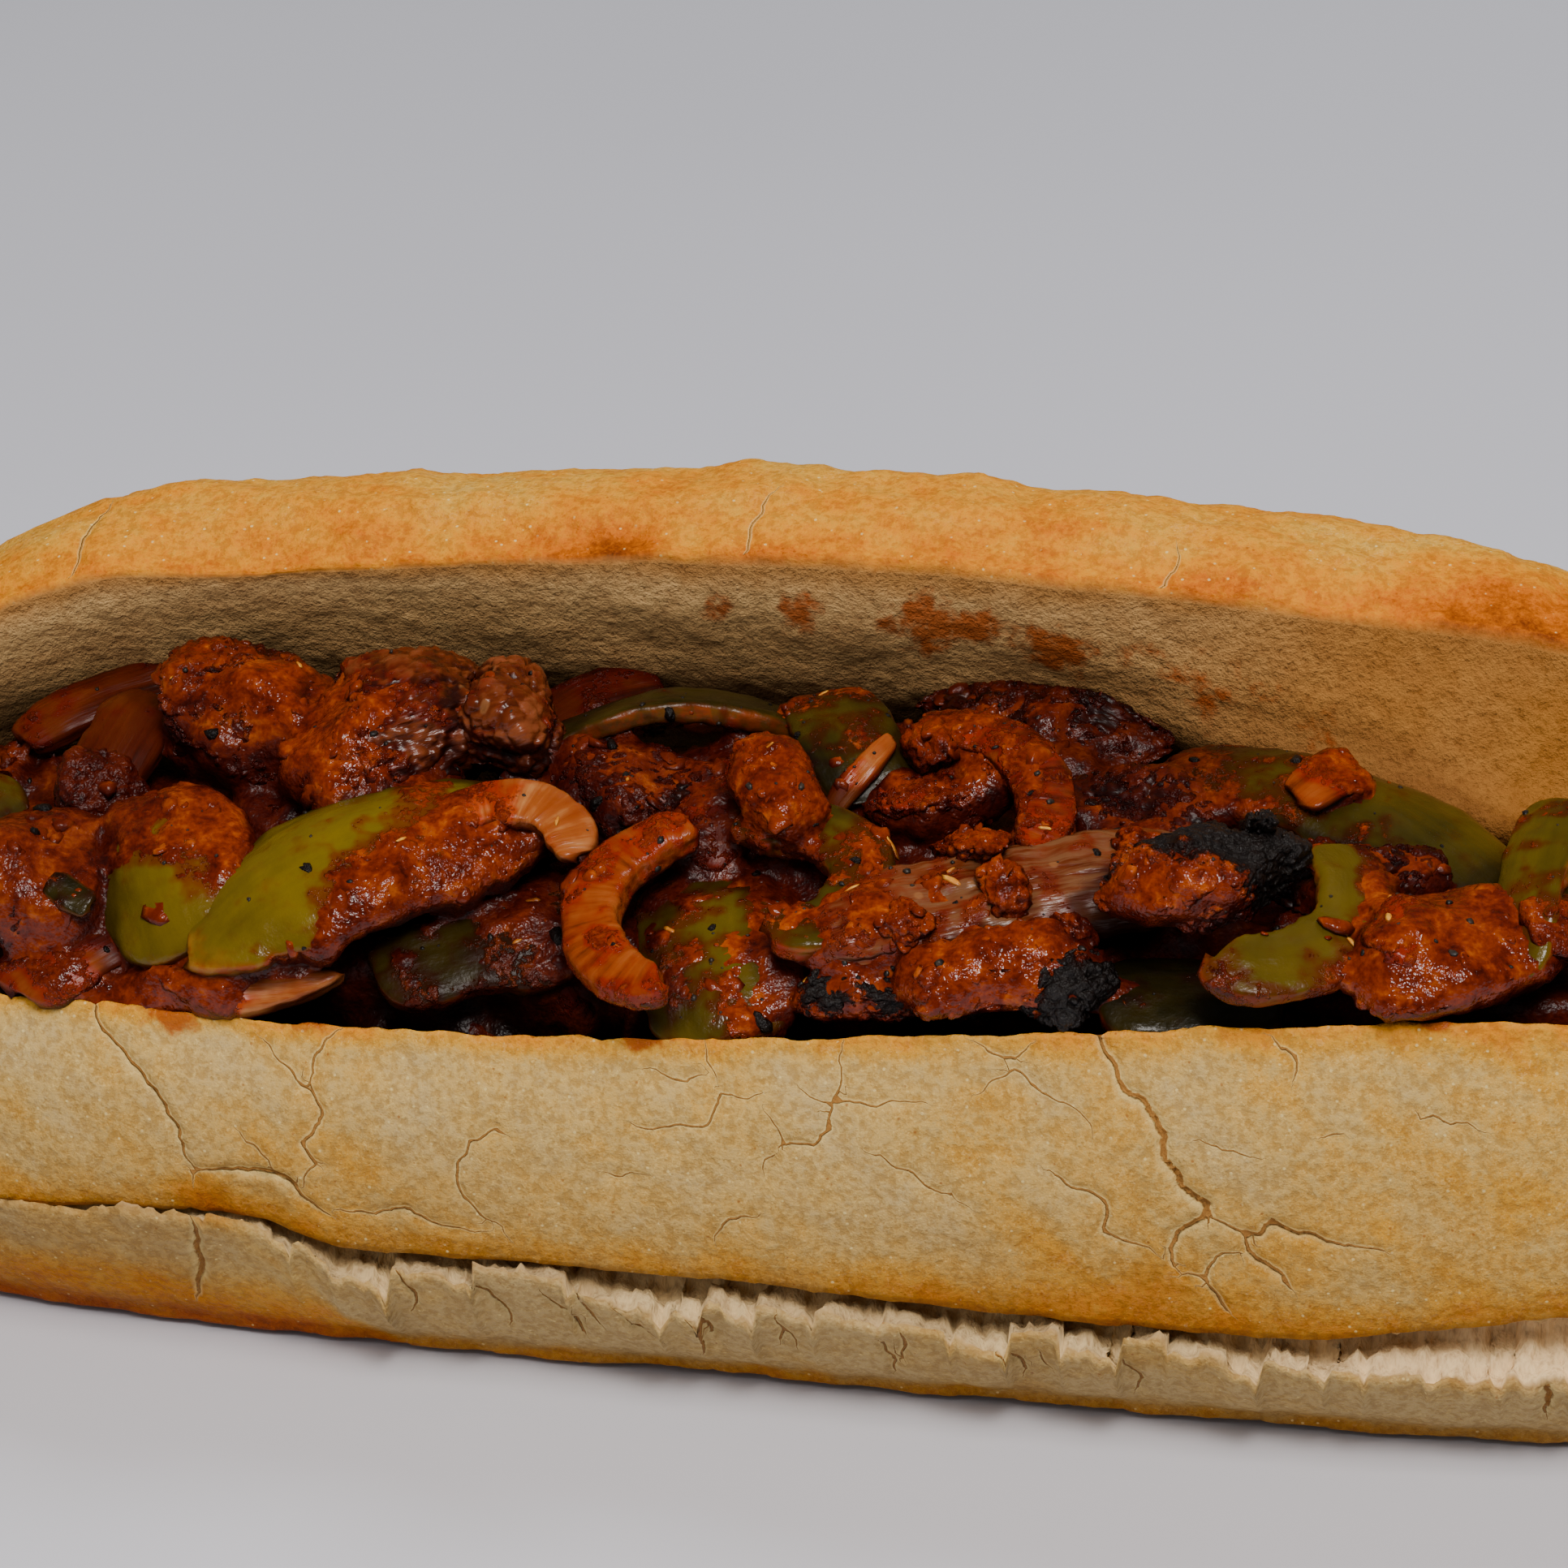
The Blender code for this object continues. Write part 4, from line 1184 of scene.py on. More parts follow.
@dataclass
class Roll:
    """The split roll: one closed mesh from a grid wrapped round its sections."""

    form: RollForm
    fine_step: float = 0.5
    fine_reach: float = 74.0
    end_columns: int = 30
    crust_rows: tuple[tuple[float, float, int], ...] = (
        (0, 3, 48), (3, 4, 3), (4, 5, 5), (5, 6, 10), (6, 7, 5), (7, 8, 3), (8, 10, 28), (10, 11, 6),
        (11, 15, 28), (15, 19, 60),
    )
    trough_rows: tuple[tuple[float, float, int], ...] = ((0, 1, 8), (1, 4, 40), (4, 11, 14), (11, 12, 6))
    groove: float = 0.42  # how far a crack's hollow reaches to each side
    lip_reach: float = 2.2  # and the crust that stands proud beside it
    crack_tips: float = 0.35  # how wide a crack is at its tips, as a share of its middle
    snap: float = 0.52  # vertices within this share of a step are drawn into a crack
    edge_reach: tuple[float, float] = (0.25, 0.3)  # of the cut edges, in control points
    edge_calm: float = 0.7  # how far the relief fades on them
    edge_crumbs: float = 0.35  # how uneven they are
    open_reach: float = 106.0  # how far along the roll they run
    crack_reach: float = 78.0  # and the cracks of the wall
    underside: float = 0.80  # how far it is baked
    skin: Skin = field(init=False)

    def columns(self) -> Array:
        """Where the sections stand: close together in the middle and towards both tips."""
        reach = self.form.nominal[0] / 2
        fine = np.linspace(-self.fine_reach, self.fine_reach, round(2 * self.fine_reach / self.fine_step) + 1)
        share = np.arange(1, self.end_columns + 1) / self.end_columns
        end = self.fine_reach + (reach - self.fine_reach) * np.sin(share * math.pi / 2)
        return np.concatenate([-end[::-1], fine, end])

    def rows(self, stretches: Sequence[tuple[float, float, int]]) -> Array:
        """Where a section's points lie, counted in control points, without the last one."""
        return np.concatenate([np.linspace(a, b, n, endpoint=False) for a, b, n in stretches])

    def base(self) -> Skin:
        """The smooth roll.

        Returns:
            Its skin, with "around", the count of control points round the section, kept on it.
        """
        x = self.columns()[:, None]
        outer = self.rows(self.crust_rows)
        inner = self.rows(self.trough_rows)
        crust = self.form.crust(x)
        outside, inside = curved(outer, crust), curved(inner, self.form.trough(x))
        shut = self.form.mouth(x[:, 0]) == 0
        inside[shut] = crust[shut][:, :1]
        ground = self.form.tapered(x, 0 * x, 0 * x)[..., 2]
        outside[..., 2] = np.maximum(outside[..., 2], ground)
        section = np.concatenate([outside, inside, outside[:, :1]], axis=1)
        around = np.concatenate([outer, inner + self.form.edge, [0.0]])
        mesh, column, row = unit_sheet(section.shape[0] - 1, section.shape[1] - 1)
        keep(mesh, "around", around[row])
        return Skin(closed(moved(mesh, section[column, row])))

    def crack(self, plane: Sequence[int], here: Array, cracks: Sequence[Crack], first_seed: int) -> None:
        """Measures the skin's distance to cracks, marks them and cuts their hollows.

        Args:
            plane: The two axes of the plane that the cracks are given in.
            here: Which vertices they may reach.
            cracks: The cracks.
            first_seed: Starts their random turns.
        """
        skin = self.skin
        chosen = np.flatnonzero(here)
        places = skin.points[np.ix_(chosen, plane)]
        nearest, aside = np.full(len(chosen), FAR), np.full(len(chosen), FAR)
        width, depth, lift = np.full(len(chosen), 0.2), np.zeros(len(chosen)), np.zeros(len(chosen))
        foot = places.copy()
        for seed, crack in enumerate(cracks, first_seed):
            path = crack.path(seed)
            count = len(path) - 1
            for k, (start, end) in enumerate(zip(path, path[1:])):
                way = end - start
                share = np.clip(((places - start) @ way) / (way @ way), 0.0, 1.0)
                closest = start + share[:, None] * way
                away = np.linalg.norm(places - closest, axis=1)
                side = np.sign(way[0] * (places[:, 1] - start[1]) - way[1] * (places[:, 0] - start[0]))
                nearer = away < nearest
                taper = self.crack_tips + (1 - self.crack_tips) * math.sin(math.pi * (k + 0.5) / count)
                nearest[nearer] = away[nearer]
                aside[nearer] = (side * away)[nearer]
                width[nearer] = crack.width * taper / 2
                depth[nearer] = crack.depth * taper
                lift[nearer] = crack.lift * taper
                foot[nearer] = closest[nearer]
        snapped = (nearest < self.fine_step * self.snap) & (depth > 0.2)
        skin.points[np.ix_(chosen[snapped], plane)] = foot[snapped]
        nearest[snapped] = aside[snapped] = 0.0
        raised = np.abs(lift) * np.where(aside * lift > 0, np.exp(-nearest / self.lip_reach), 0.0)
        hollow = np.zeros(len(skin.points))
        hollow[chosen] = raised - depth * np.exp(-((nearest / self.groove) ** 2))
        skin.push(hollow)
        skin.marks["crack"][chosen] = aside / width
        skin.marks["near"][chosen] = nearest

    def edges(self, around: Array) -> tuple[Array, Array]:
        """How near each point is to the front wall's cut edge and to the lid's, up to 1 on it."""
        last = self.form.edge + self.form.heap_front + 1
        front = eased(self.edge_reach[0], 0.0, np.minimum(around, last - around))
        return front, eased(self.edge_reach[1], 0.0, np.abs(around - self.form.edge))

    def relief(self, around: Array, torn: Array, crumb: Array) -> Array:
        """How far each point of the crust and the crumb stands out.

        Args:
            around: The place round the section.
            torn: How far the point belongs to the torn seam.
            crumb: How far it belongs to the trough's crumb.

        Returns:
            Millimetres along the normals.
        """
        points, form = self.skin.points, self.form
        lid = eased(form.lid - 2.5, form.lid - 1.5, around) * (around <= form.edge)
        crust = 0.30 * rough(points, 14, 1) + 0.17 * rough(points, 4.5, 2) + 0.06 * rough(points, 1.5, 3)
        folds = points @ np.array(((0.35, 0.2, 0.0), (-0.5, 0.9, 0.0), (0.0, 0.0, 1.0)))
        crust += lid * (0.80 * rough(folds, 9, 4) + 0.26 * rough(points, 2.6, 5))
        crust += lid * sum(spot.on(points) for spot in LID_BUMPS)
        fibres = rough(points * np.array((1.0, 0.5, 0.25)), 0.9, 6, 4)
        recess = -0.35 + 1.1 * rough(points, 3.0, 7) + 0.75 * fibres
        border, _ = cobbles(points, 2.3, 1)
        sponge = 0.12 * np.minimum(border, 0.5) + 0.13 * rough(points, 1.2, 8) + 0.28 * rough(points, 8, 9)
        relief = np.where(crumb > 0, crumb * sponge, crust) * (1 - torn) + torn * recess
        return relief * (1 - self.edge_calm * np.maximum(*self.edges(around)))

    def baked(self, around: Array) -> Array:
        """How far each point of the crust is baked, from 0, chalky, to 1, black."""
        x, _, z = self.skin.points.T
        form = self.form
        # The front wall is darker down at its lip, at its cut edge and towards the right.
        wall = 0.14 + 0.16 * eased(5.5, 0.0, z - along(LIP, x)) + 0.26 * eased(0.40, 0.0, around)
        wall += 0.07 * eased(30, 70, x)
        # Under the seam it is darker near the ground and to the left of a slanting line.
        torn_line = -44.2 + (12 - z) * 0.83
        left = eased(1.5, -1.5, x - torn_line)
        low = 0.40 * eased(4.0, 0.8, z + 1.0 * rough(self.skin.points, 6, 14))
        foot = low + left * (0.10 + 0.36 * eased(12.5, 4.5, z) - 0.5 * low)
        # The lid is darker towards its cut edge, and the back towards the ground.
        lid = 0.41 + 0.10 * eased(form.edge - 1.3, form.edge, around)
        lid += 0.06 * eased(form.edge - 0.5, form.edge, around)
        back = 0.40 + 0.28 * eased(18, 4, z)
        bake = np.where(around < form.lip + 0.6, wall, foot * (1 - 0.3 * eased(0, 30, x)))
        bake = np.where(around >= form.foot, self.underside, bake)
        bake = np.where(around >= form.foot + 1.6, back, bake)
        return np.where(around > form.lid - 1.5, lid, bake)

    def painted_shade_and_spots(self, around: Array, spots: Array) -> Array:
        """How much each point of the crust is darkened: painted shade low on the wall and near the ground,
        the foot a little all over and more towards its left end, and darker baking in the brown spots.
        """
        x, _, z = self.skin.points.T
        form = self.form
        on_wall = around < form.lip + 0.6
        # Painted shade: the wall darker low down above its lip, and the foot near the ground.
        wall = 0.30 * eased(16, 0, z - along(LIP, x)) + 0.35 * eased(3.0, 0.0, z - along(LIP, x))
        foot = 0.10 + 0.70 * eased(5.0, 1.0, z) + 0.40 * eased(-44, -56, x)
        low = np.where(on_wall, wall, foot) + 1.2 * spots
        return np.clip(np.where(around > form.lid - 2, 0.5 * spots, low), 0, 1)

    def build(self) -> None:
        """Shapes the crust, the crumb and the torn seam, and marks where each finish lies."""
        self.skin = self.base()
        skin, form = self.skin, self.form
        around = kept(skin.mesh, "around")
        x, y, z = skin.points.T
        torn = eased(form.lip + 0.5, form.lip + 1.2, around) * (y < 0)
        torn *= eased(form.plate - 0.15, form.plate - 0.7, around)
        crumb = eased(form.edge + 0.02, form.edge + 0.25, around)
        skin.push(self.relief(around, torn, crumb))
        marks = skin.marks
        marks["crack"] = np.full(len(x), FAR)
        marks["near"] = np.full(len(x), FAR)
        wall = (around < form.foot) & (torn < 0.5) & (y < -15) & (np.abs(x) < self.crack_reach)
        self.crack(FRONT, wall, WALL_CRACKS, 1)
        self.crack(TOP, (around > form.lid + 1) & (around < form.edge + 0.1), LID_CRACKS, 60)
        # The cut edges are crumbly, and the underside is flat.
        line = np.stack([x, 0 * x, 0 * x], axis=1)
        rim = np.maximum(eased(self.edge_reach[0], 0.0, around), self.edges(around)[1])
        crumbs = self.edge_crumbs * rough(line, 3.0, 11, 4)
        skin.points[:, 2] += crumbs * rim * (np.abs(x) < self.open_reach)
        skin.points[:, 2] = np.maximum(skin.points[:, 2], 0.0)

        # The crumb is cool on the left, warm under the lid's edge, and warm and darker towards the right,
        # partly as painted shade under the lid. Deep down it is darker, partly sauce soak and partly painted
        # shade, and under the seam's lip it has painted shadow.
        browned = sum(spot.on(skin.points) for spot in BROWN_SPOTS)
        deep = eased(form.edge + 1.6, form.edge + 4.5, around)
        below = (along(LIP, x) - z) / np.maximum(along(SEAM, x), 0.5)
        marks["bake"] = self.baked(around) + browned * np.where(around < form.foot, 0.55, 1.0)
        marks["crumb"] = np.maximum(crumb, torn)
        marks["torn"] = torn
        rind = 0.75 * eased(form.edge + 1.0, form.edge + 0.2, around + 0.2 * rough(skin.points, 4, 16))
        marks["fresh"] = eased(35.0, 62.0, x)
        marks["dusk"] = self.painted_shade_and_spots(around, browned)
        marks["warm_and_shaded"] = np.maximum(eased(-15, 75, x + 12 * rough(skin.points, 18, 15)), rind)
        marks["soak_and_shade"] = np.clip(0.7 * crumb * deep + 0.35 * torn * eased(0.9, 0.2, below), 0, 1)
        marks["stain"] = sum(spot.on(skin.points) for spot in STAIN_SPOTS)
        marks["char"] = sum(spot.on(skin.points) for spot in CHAR_SPOTS) * (1 - crumb)

    def dress(self, look: CrustLook) -> None:
        """Finishes the roll."""
        self.skin.finish("sub_roll", "crust", look.material(), ("roll",))


# ---- The cuts of food ----


class Food(Enum):
    """What a cut is made of, by its material slot."""

    PEPPER = "pepper"
    ONION = "onion"
    BEEF = "beef"
    CHAR = "char"


def curled(lengthwise: Array, across: Array, angle: float, span: float) -> tuple[Array, Array]:
    """Bends two of a shape's axes round an arc.

    Args:
        lengthwise: Places along the axis that curls.
        across: Places along the axis that points away from the arc's centre.
        angle: The arc's degrees over the span.
        span: The length that curls.

    Returns:
        Both axes after the bend.
    """
    if not angle:
        return lengthwise, across
    radius = span / math.radians(angle)
    turn = lengthwise / radius
    return (radius + across) * np.sin(turn), (radius + across) * np.cos(turn) - radius


@dataclass(frozen=True)
class Cut:
    """One cut of food. It lies where its CAD node does, turned as the heap's slope is there.

    Headings run from the roll's length, at 0, to straight up the slope, at 90. `tone` picks its
    colour and `sauce` how much sauce lies on it; `toward` and `aside` say at which end and on which
    side most of it is. `across` turns its streaks across it, as in a ring.
    """

    node: str
    food: Food
    length: float
    width: float
    thickness: float
    heading: float = 0.0
    tone: float = 0.5
    sauce: float = 0.4
    roll: float = 0.0
    bend: float = 0.0
    arc: float = 0.0
    cup: float = 0.0
    twist: float = 0.0
    blunt: float = 4.0
    toward: float = 0.0
    aside: float = 0.0
    fibre: float = 0.0
    across: bool = False
    lump: bool = False
    shift: tuple[float, float, float] = (0.0, 0.0, 0.0)  # along the roll, up the slope and out of it
    step: float = 0.34  # the size of the faces
    rounds: int = 6  # how often a lump's faces are divided
    dusk: float = 0.0  # painted shade added to what its crowding gives; below 0 it takes some away

    square = 6.0  # how boxy the cross-section is
    facets = 8
    slant = 0.22

    @property
    def thins(self) -> float:
        """How much thinner the cut is at its sides."""
        return {Food.PEPPER: 0.10, Food.ONION: 0.40}.get(self.food, 0.75)

    def outline(self, rows: int) -> tuple[Array, Array]:
        """A cross-section's points, evenly spaced, from -0.5 to 0.5 both ways."""
        turn = np.linspace(0, 2 * np.pi, 721)
        power = 2 / self.square
        v = 0.5 * np.sign(np.cos(turn)) * np.abs(np.cos(turn)) ** power
        w = 0.5 * np.sign(np.sin(turn)) * np.abs(np.sin(turn)) ** power
        steps = np.hypot(np.diff(v) * self.width, np.diff(w) * self.thickness)
        travelled = np.concatenate([[0.0], np.cumsum(steps)])
        even = np.linspace(0, travelled[-1], rows + 1)
        return np.interp(even, travelled, v), np.interp(even, travelled, w)

    def slab(self, turns: random.Random, seed: float) -> Mesh:
        """A flat cut with upright sides, uneven in outline and slanted at its ends.

        Args:
            turns: Gives its random slant.
            seed: Which part of the noise its outline takes.

        Returns:
            The mesh, with its flat places kept on it.
        """
        columns = round(self.length / self.step)
        rows = round(2 * (self.width + self.thickness) / self.step)
        mesh, column, row = unit_sheet(columns, rows)
        share = column / columns
        u = 0.3 * (2 * share - 1) + 0.2 * np.sin(np.pi * (share - 0.5))
        narrow = np.maximum(1 - np.abs(2 * u) ** self.blunt, 0.0) ** (1 / self.blunt)
        side, layer = self.outline(rows)
        v, w = side[row], layer[row]
        # It thins towards its sides and its ends.
        edge = np.sqrt(1 - self.thins * (2 * v) ** 2) * (0.6 + 0.4 * narrow) * narrow**0.15
        sides = np.stack([u * self.length, np.sign(v) * 9, 0 * u], axis=1)
        uneven = 1 + 0.13 * rough(sides, 5.0, seed + 0.3) * np.abs(2 * v)
        lean = turns.uniform(-self.slant, self.slant) * v * self.width * np.abs(2 * u) ** 2
        sideways = v * self.width * narrow * uneven
        flat = np.stack([u * self.length + lean, sideways, w * self.thickness * edge], axis=1)
        keep(mesh, "flat", flat)
        return closed(moved(mesh, flat))

    def chunk(self, turns: random.Random) -> Mesh:
        """An uneven chunk: a ball whose sides are cut flat here and there.

        Args:
            turns: Gives the flat sides.

        Returns:
            The mesh, with its places kept on it.
        """
        mesh = bmesh.new()
        bmesh.ops.create_icosphere(mesh, subdivisions=self.rounds, radius=0.5)
        places = np.array([vert.co for vert in mesh.verts])
        for _ in range(self.facets):
            way = np.array([turns.gauss(0, 1) for _ in range(3)])
            way /= np.linalg.norm(way)
            beyond = np.maximum(places @ way - turns.uniform(0.30, 0.42), 0.0)
            places -= 0.8 * beyond[:, None] * way
        places *= np.array((self.length, self.width, self.thickness)) / np.ptp(places, axis=0)
        keep(mesh, "flat", places)
        return moved(mesh, places)

    def curl(self, flat: Array) -> Array:
        """Curls flat places as the cut's own bends ask."""
        u, v, w = flat.T
        v, w = curled(v, w, self.cup, self.width)
        turn = math.radians(self.twist) * u / self.length
        v, w = v * np.cos(turn) - w * np.sin(turn), v * np.sin(turn) + w * np.cos(turn)
        u, v = curled(u, v, self.arc, self.length)
        u, w = curled(u, w, self.bend, self.length)
        return np.stack([u, v, w], axis=1)

    def turned(self, axes: Matrix) -> Array:
        """The cut's turn, given the axes of the place that it lies on."""
        turns = axes @ Matrix.Rotation(math.radians(self.heading), 3, "Z")
        return np.array(turns @ Matrix.Rotation(math.radians(self.roll), 3, "X"))

    def coated(self, flat: Array, seed: float) -> Array:
        """How thickly sauce lies at each point, from 0 to 1."""
        drift = 0.55 * rough(flat, 5.0, seed) + 0.25 * rough(flat, 1.6, seed + 0.5)
        lean = 2.2 * (self.toward * flat[:, 0] / self.length + self.aside * flat[:, 1] / self.width)
        return eased(-0.45, 0.45, drift + lean + 1.5 * (self.sauce - 0.5))

    def meat(self, skin: Skin, flat: Array, seed: float) -> None:
        """Gives a chunk its lobes, creases and fine bundles of fibres, with painted shade in the creases and
        between the bundles.

        Args:
            skin: The chunk, which is changed.
            flat: Its places before it was placed.
            seed: Which part of the noise it takes.
        """
        least = min(self.width, self.thickness)
        lobes = 0.15 * least * rough(flat, 0.9 * least, seed, 2)
        creases = eased(0.10, 0.0, np.abs(rough(flat, 0.75 * least, seed + 1, 2)))
        warped = flat + 0.4 * np.stack([rough(flat, 2.0, seed + k) for k in (0.1, 0.2, 0.3)], axis=1)
        border, shade = cobbles(warped * np.array((0.8, 1.0, 1.0)), 1.15, seed)
        grains = eased(0.0, 0.35, border)
        skin.push(lobes - 0.55 * creases + 0.26 * (grains - 0.6) + 0.2 * rough(flat, 0.9, seed + 2))
        # Its tone, darkened as painted shade in the creases and between the bundles.
        shade = 0.62 + 0.30 * (shade - 0.5) - 0.25 * creases - 0.22 * (1 - grains) + 0.5 * (self.tone - 0.5)
        skin.marks["shade"] = np.clip(shade, 0, 1)

    def build(self, seed: float) -> Skin:
        """Shapes the cut about its own middle, with its relief and marks.

        Args:
            seed: Which part of the noise it takes.

        Returns:
            Its skin.
        """
        turns = random.Random(f"{self.node}{seed}")
        mesh = self.chunk(turns) if self.lump else self.slab(turns, seed)
        flat = kept(mesh, "flat")
        skin = Skin(moved(mesh, self.curl(flat)))
        sauce = self.coated(flat, seed)
        for mark, value in (("tone", self.tone), ("fibre", self.fibre), ("shade", self.tone), ("cut", 0.0)):
            skin.marks[mark] = np.full(len(flat), value)
        grain = flat[:, (1, 0, 2)] if self.across else flat
        if self.lump:
            self.meat(skin, flat, seed)
        elif self.food is Food.PEPPER:
            depth = flat[:, 2] / self.thickness
            skin.marks["cut"] = eased(0.38, 0.24, depth + 0.04 * rough(flat, 1.5, seed))
            wrinkles = rough(flat * np.array((0.4, 1, 1)), 2.4, seed + 2)
            skin.push(0.32 * rough(flat, 7.0, seed) + 0.09 * wrinkles)
            skin.push(skin.marks["cut"] * 0.16 * rough(flat, 1.2, seed + 3))
        elif self.food is Food.ONION:
            ribs = rough(grain * np.array((0.12, 1, 1)), 1.2, seed + 2)
            skin.push(0.26 * rough(flat, 6.0, seed) + 0.14 * ribs)
        else:
            fibres = rough(flat * np.array((0.14, 1, 1)), 1.7, seed + 2)
            skin.push(0.5 * rough(flat, 4.0, seed) + 0.34 * fibres)
            shade = 0.5 + 0.4 * rough(flat * np.array((0.3, 1, 1)), 3.0, seed + 4)
            skin.marks["shade"] = np.clip(shade, 0, 1)
        pulp = 0.14 + 0.12 * rough(flat, 0.9, seed + 5) + 0.36 * np.maximum(rough(flat, 2.6, seed + 6), 0)
        skin.push(sauce * pulp)
        skin.marks["sauce"] = sauce
        skin.marks["flat"] = grain
        return skin


PEPPER, ONION, BEEF, CHAR = Food
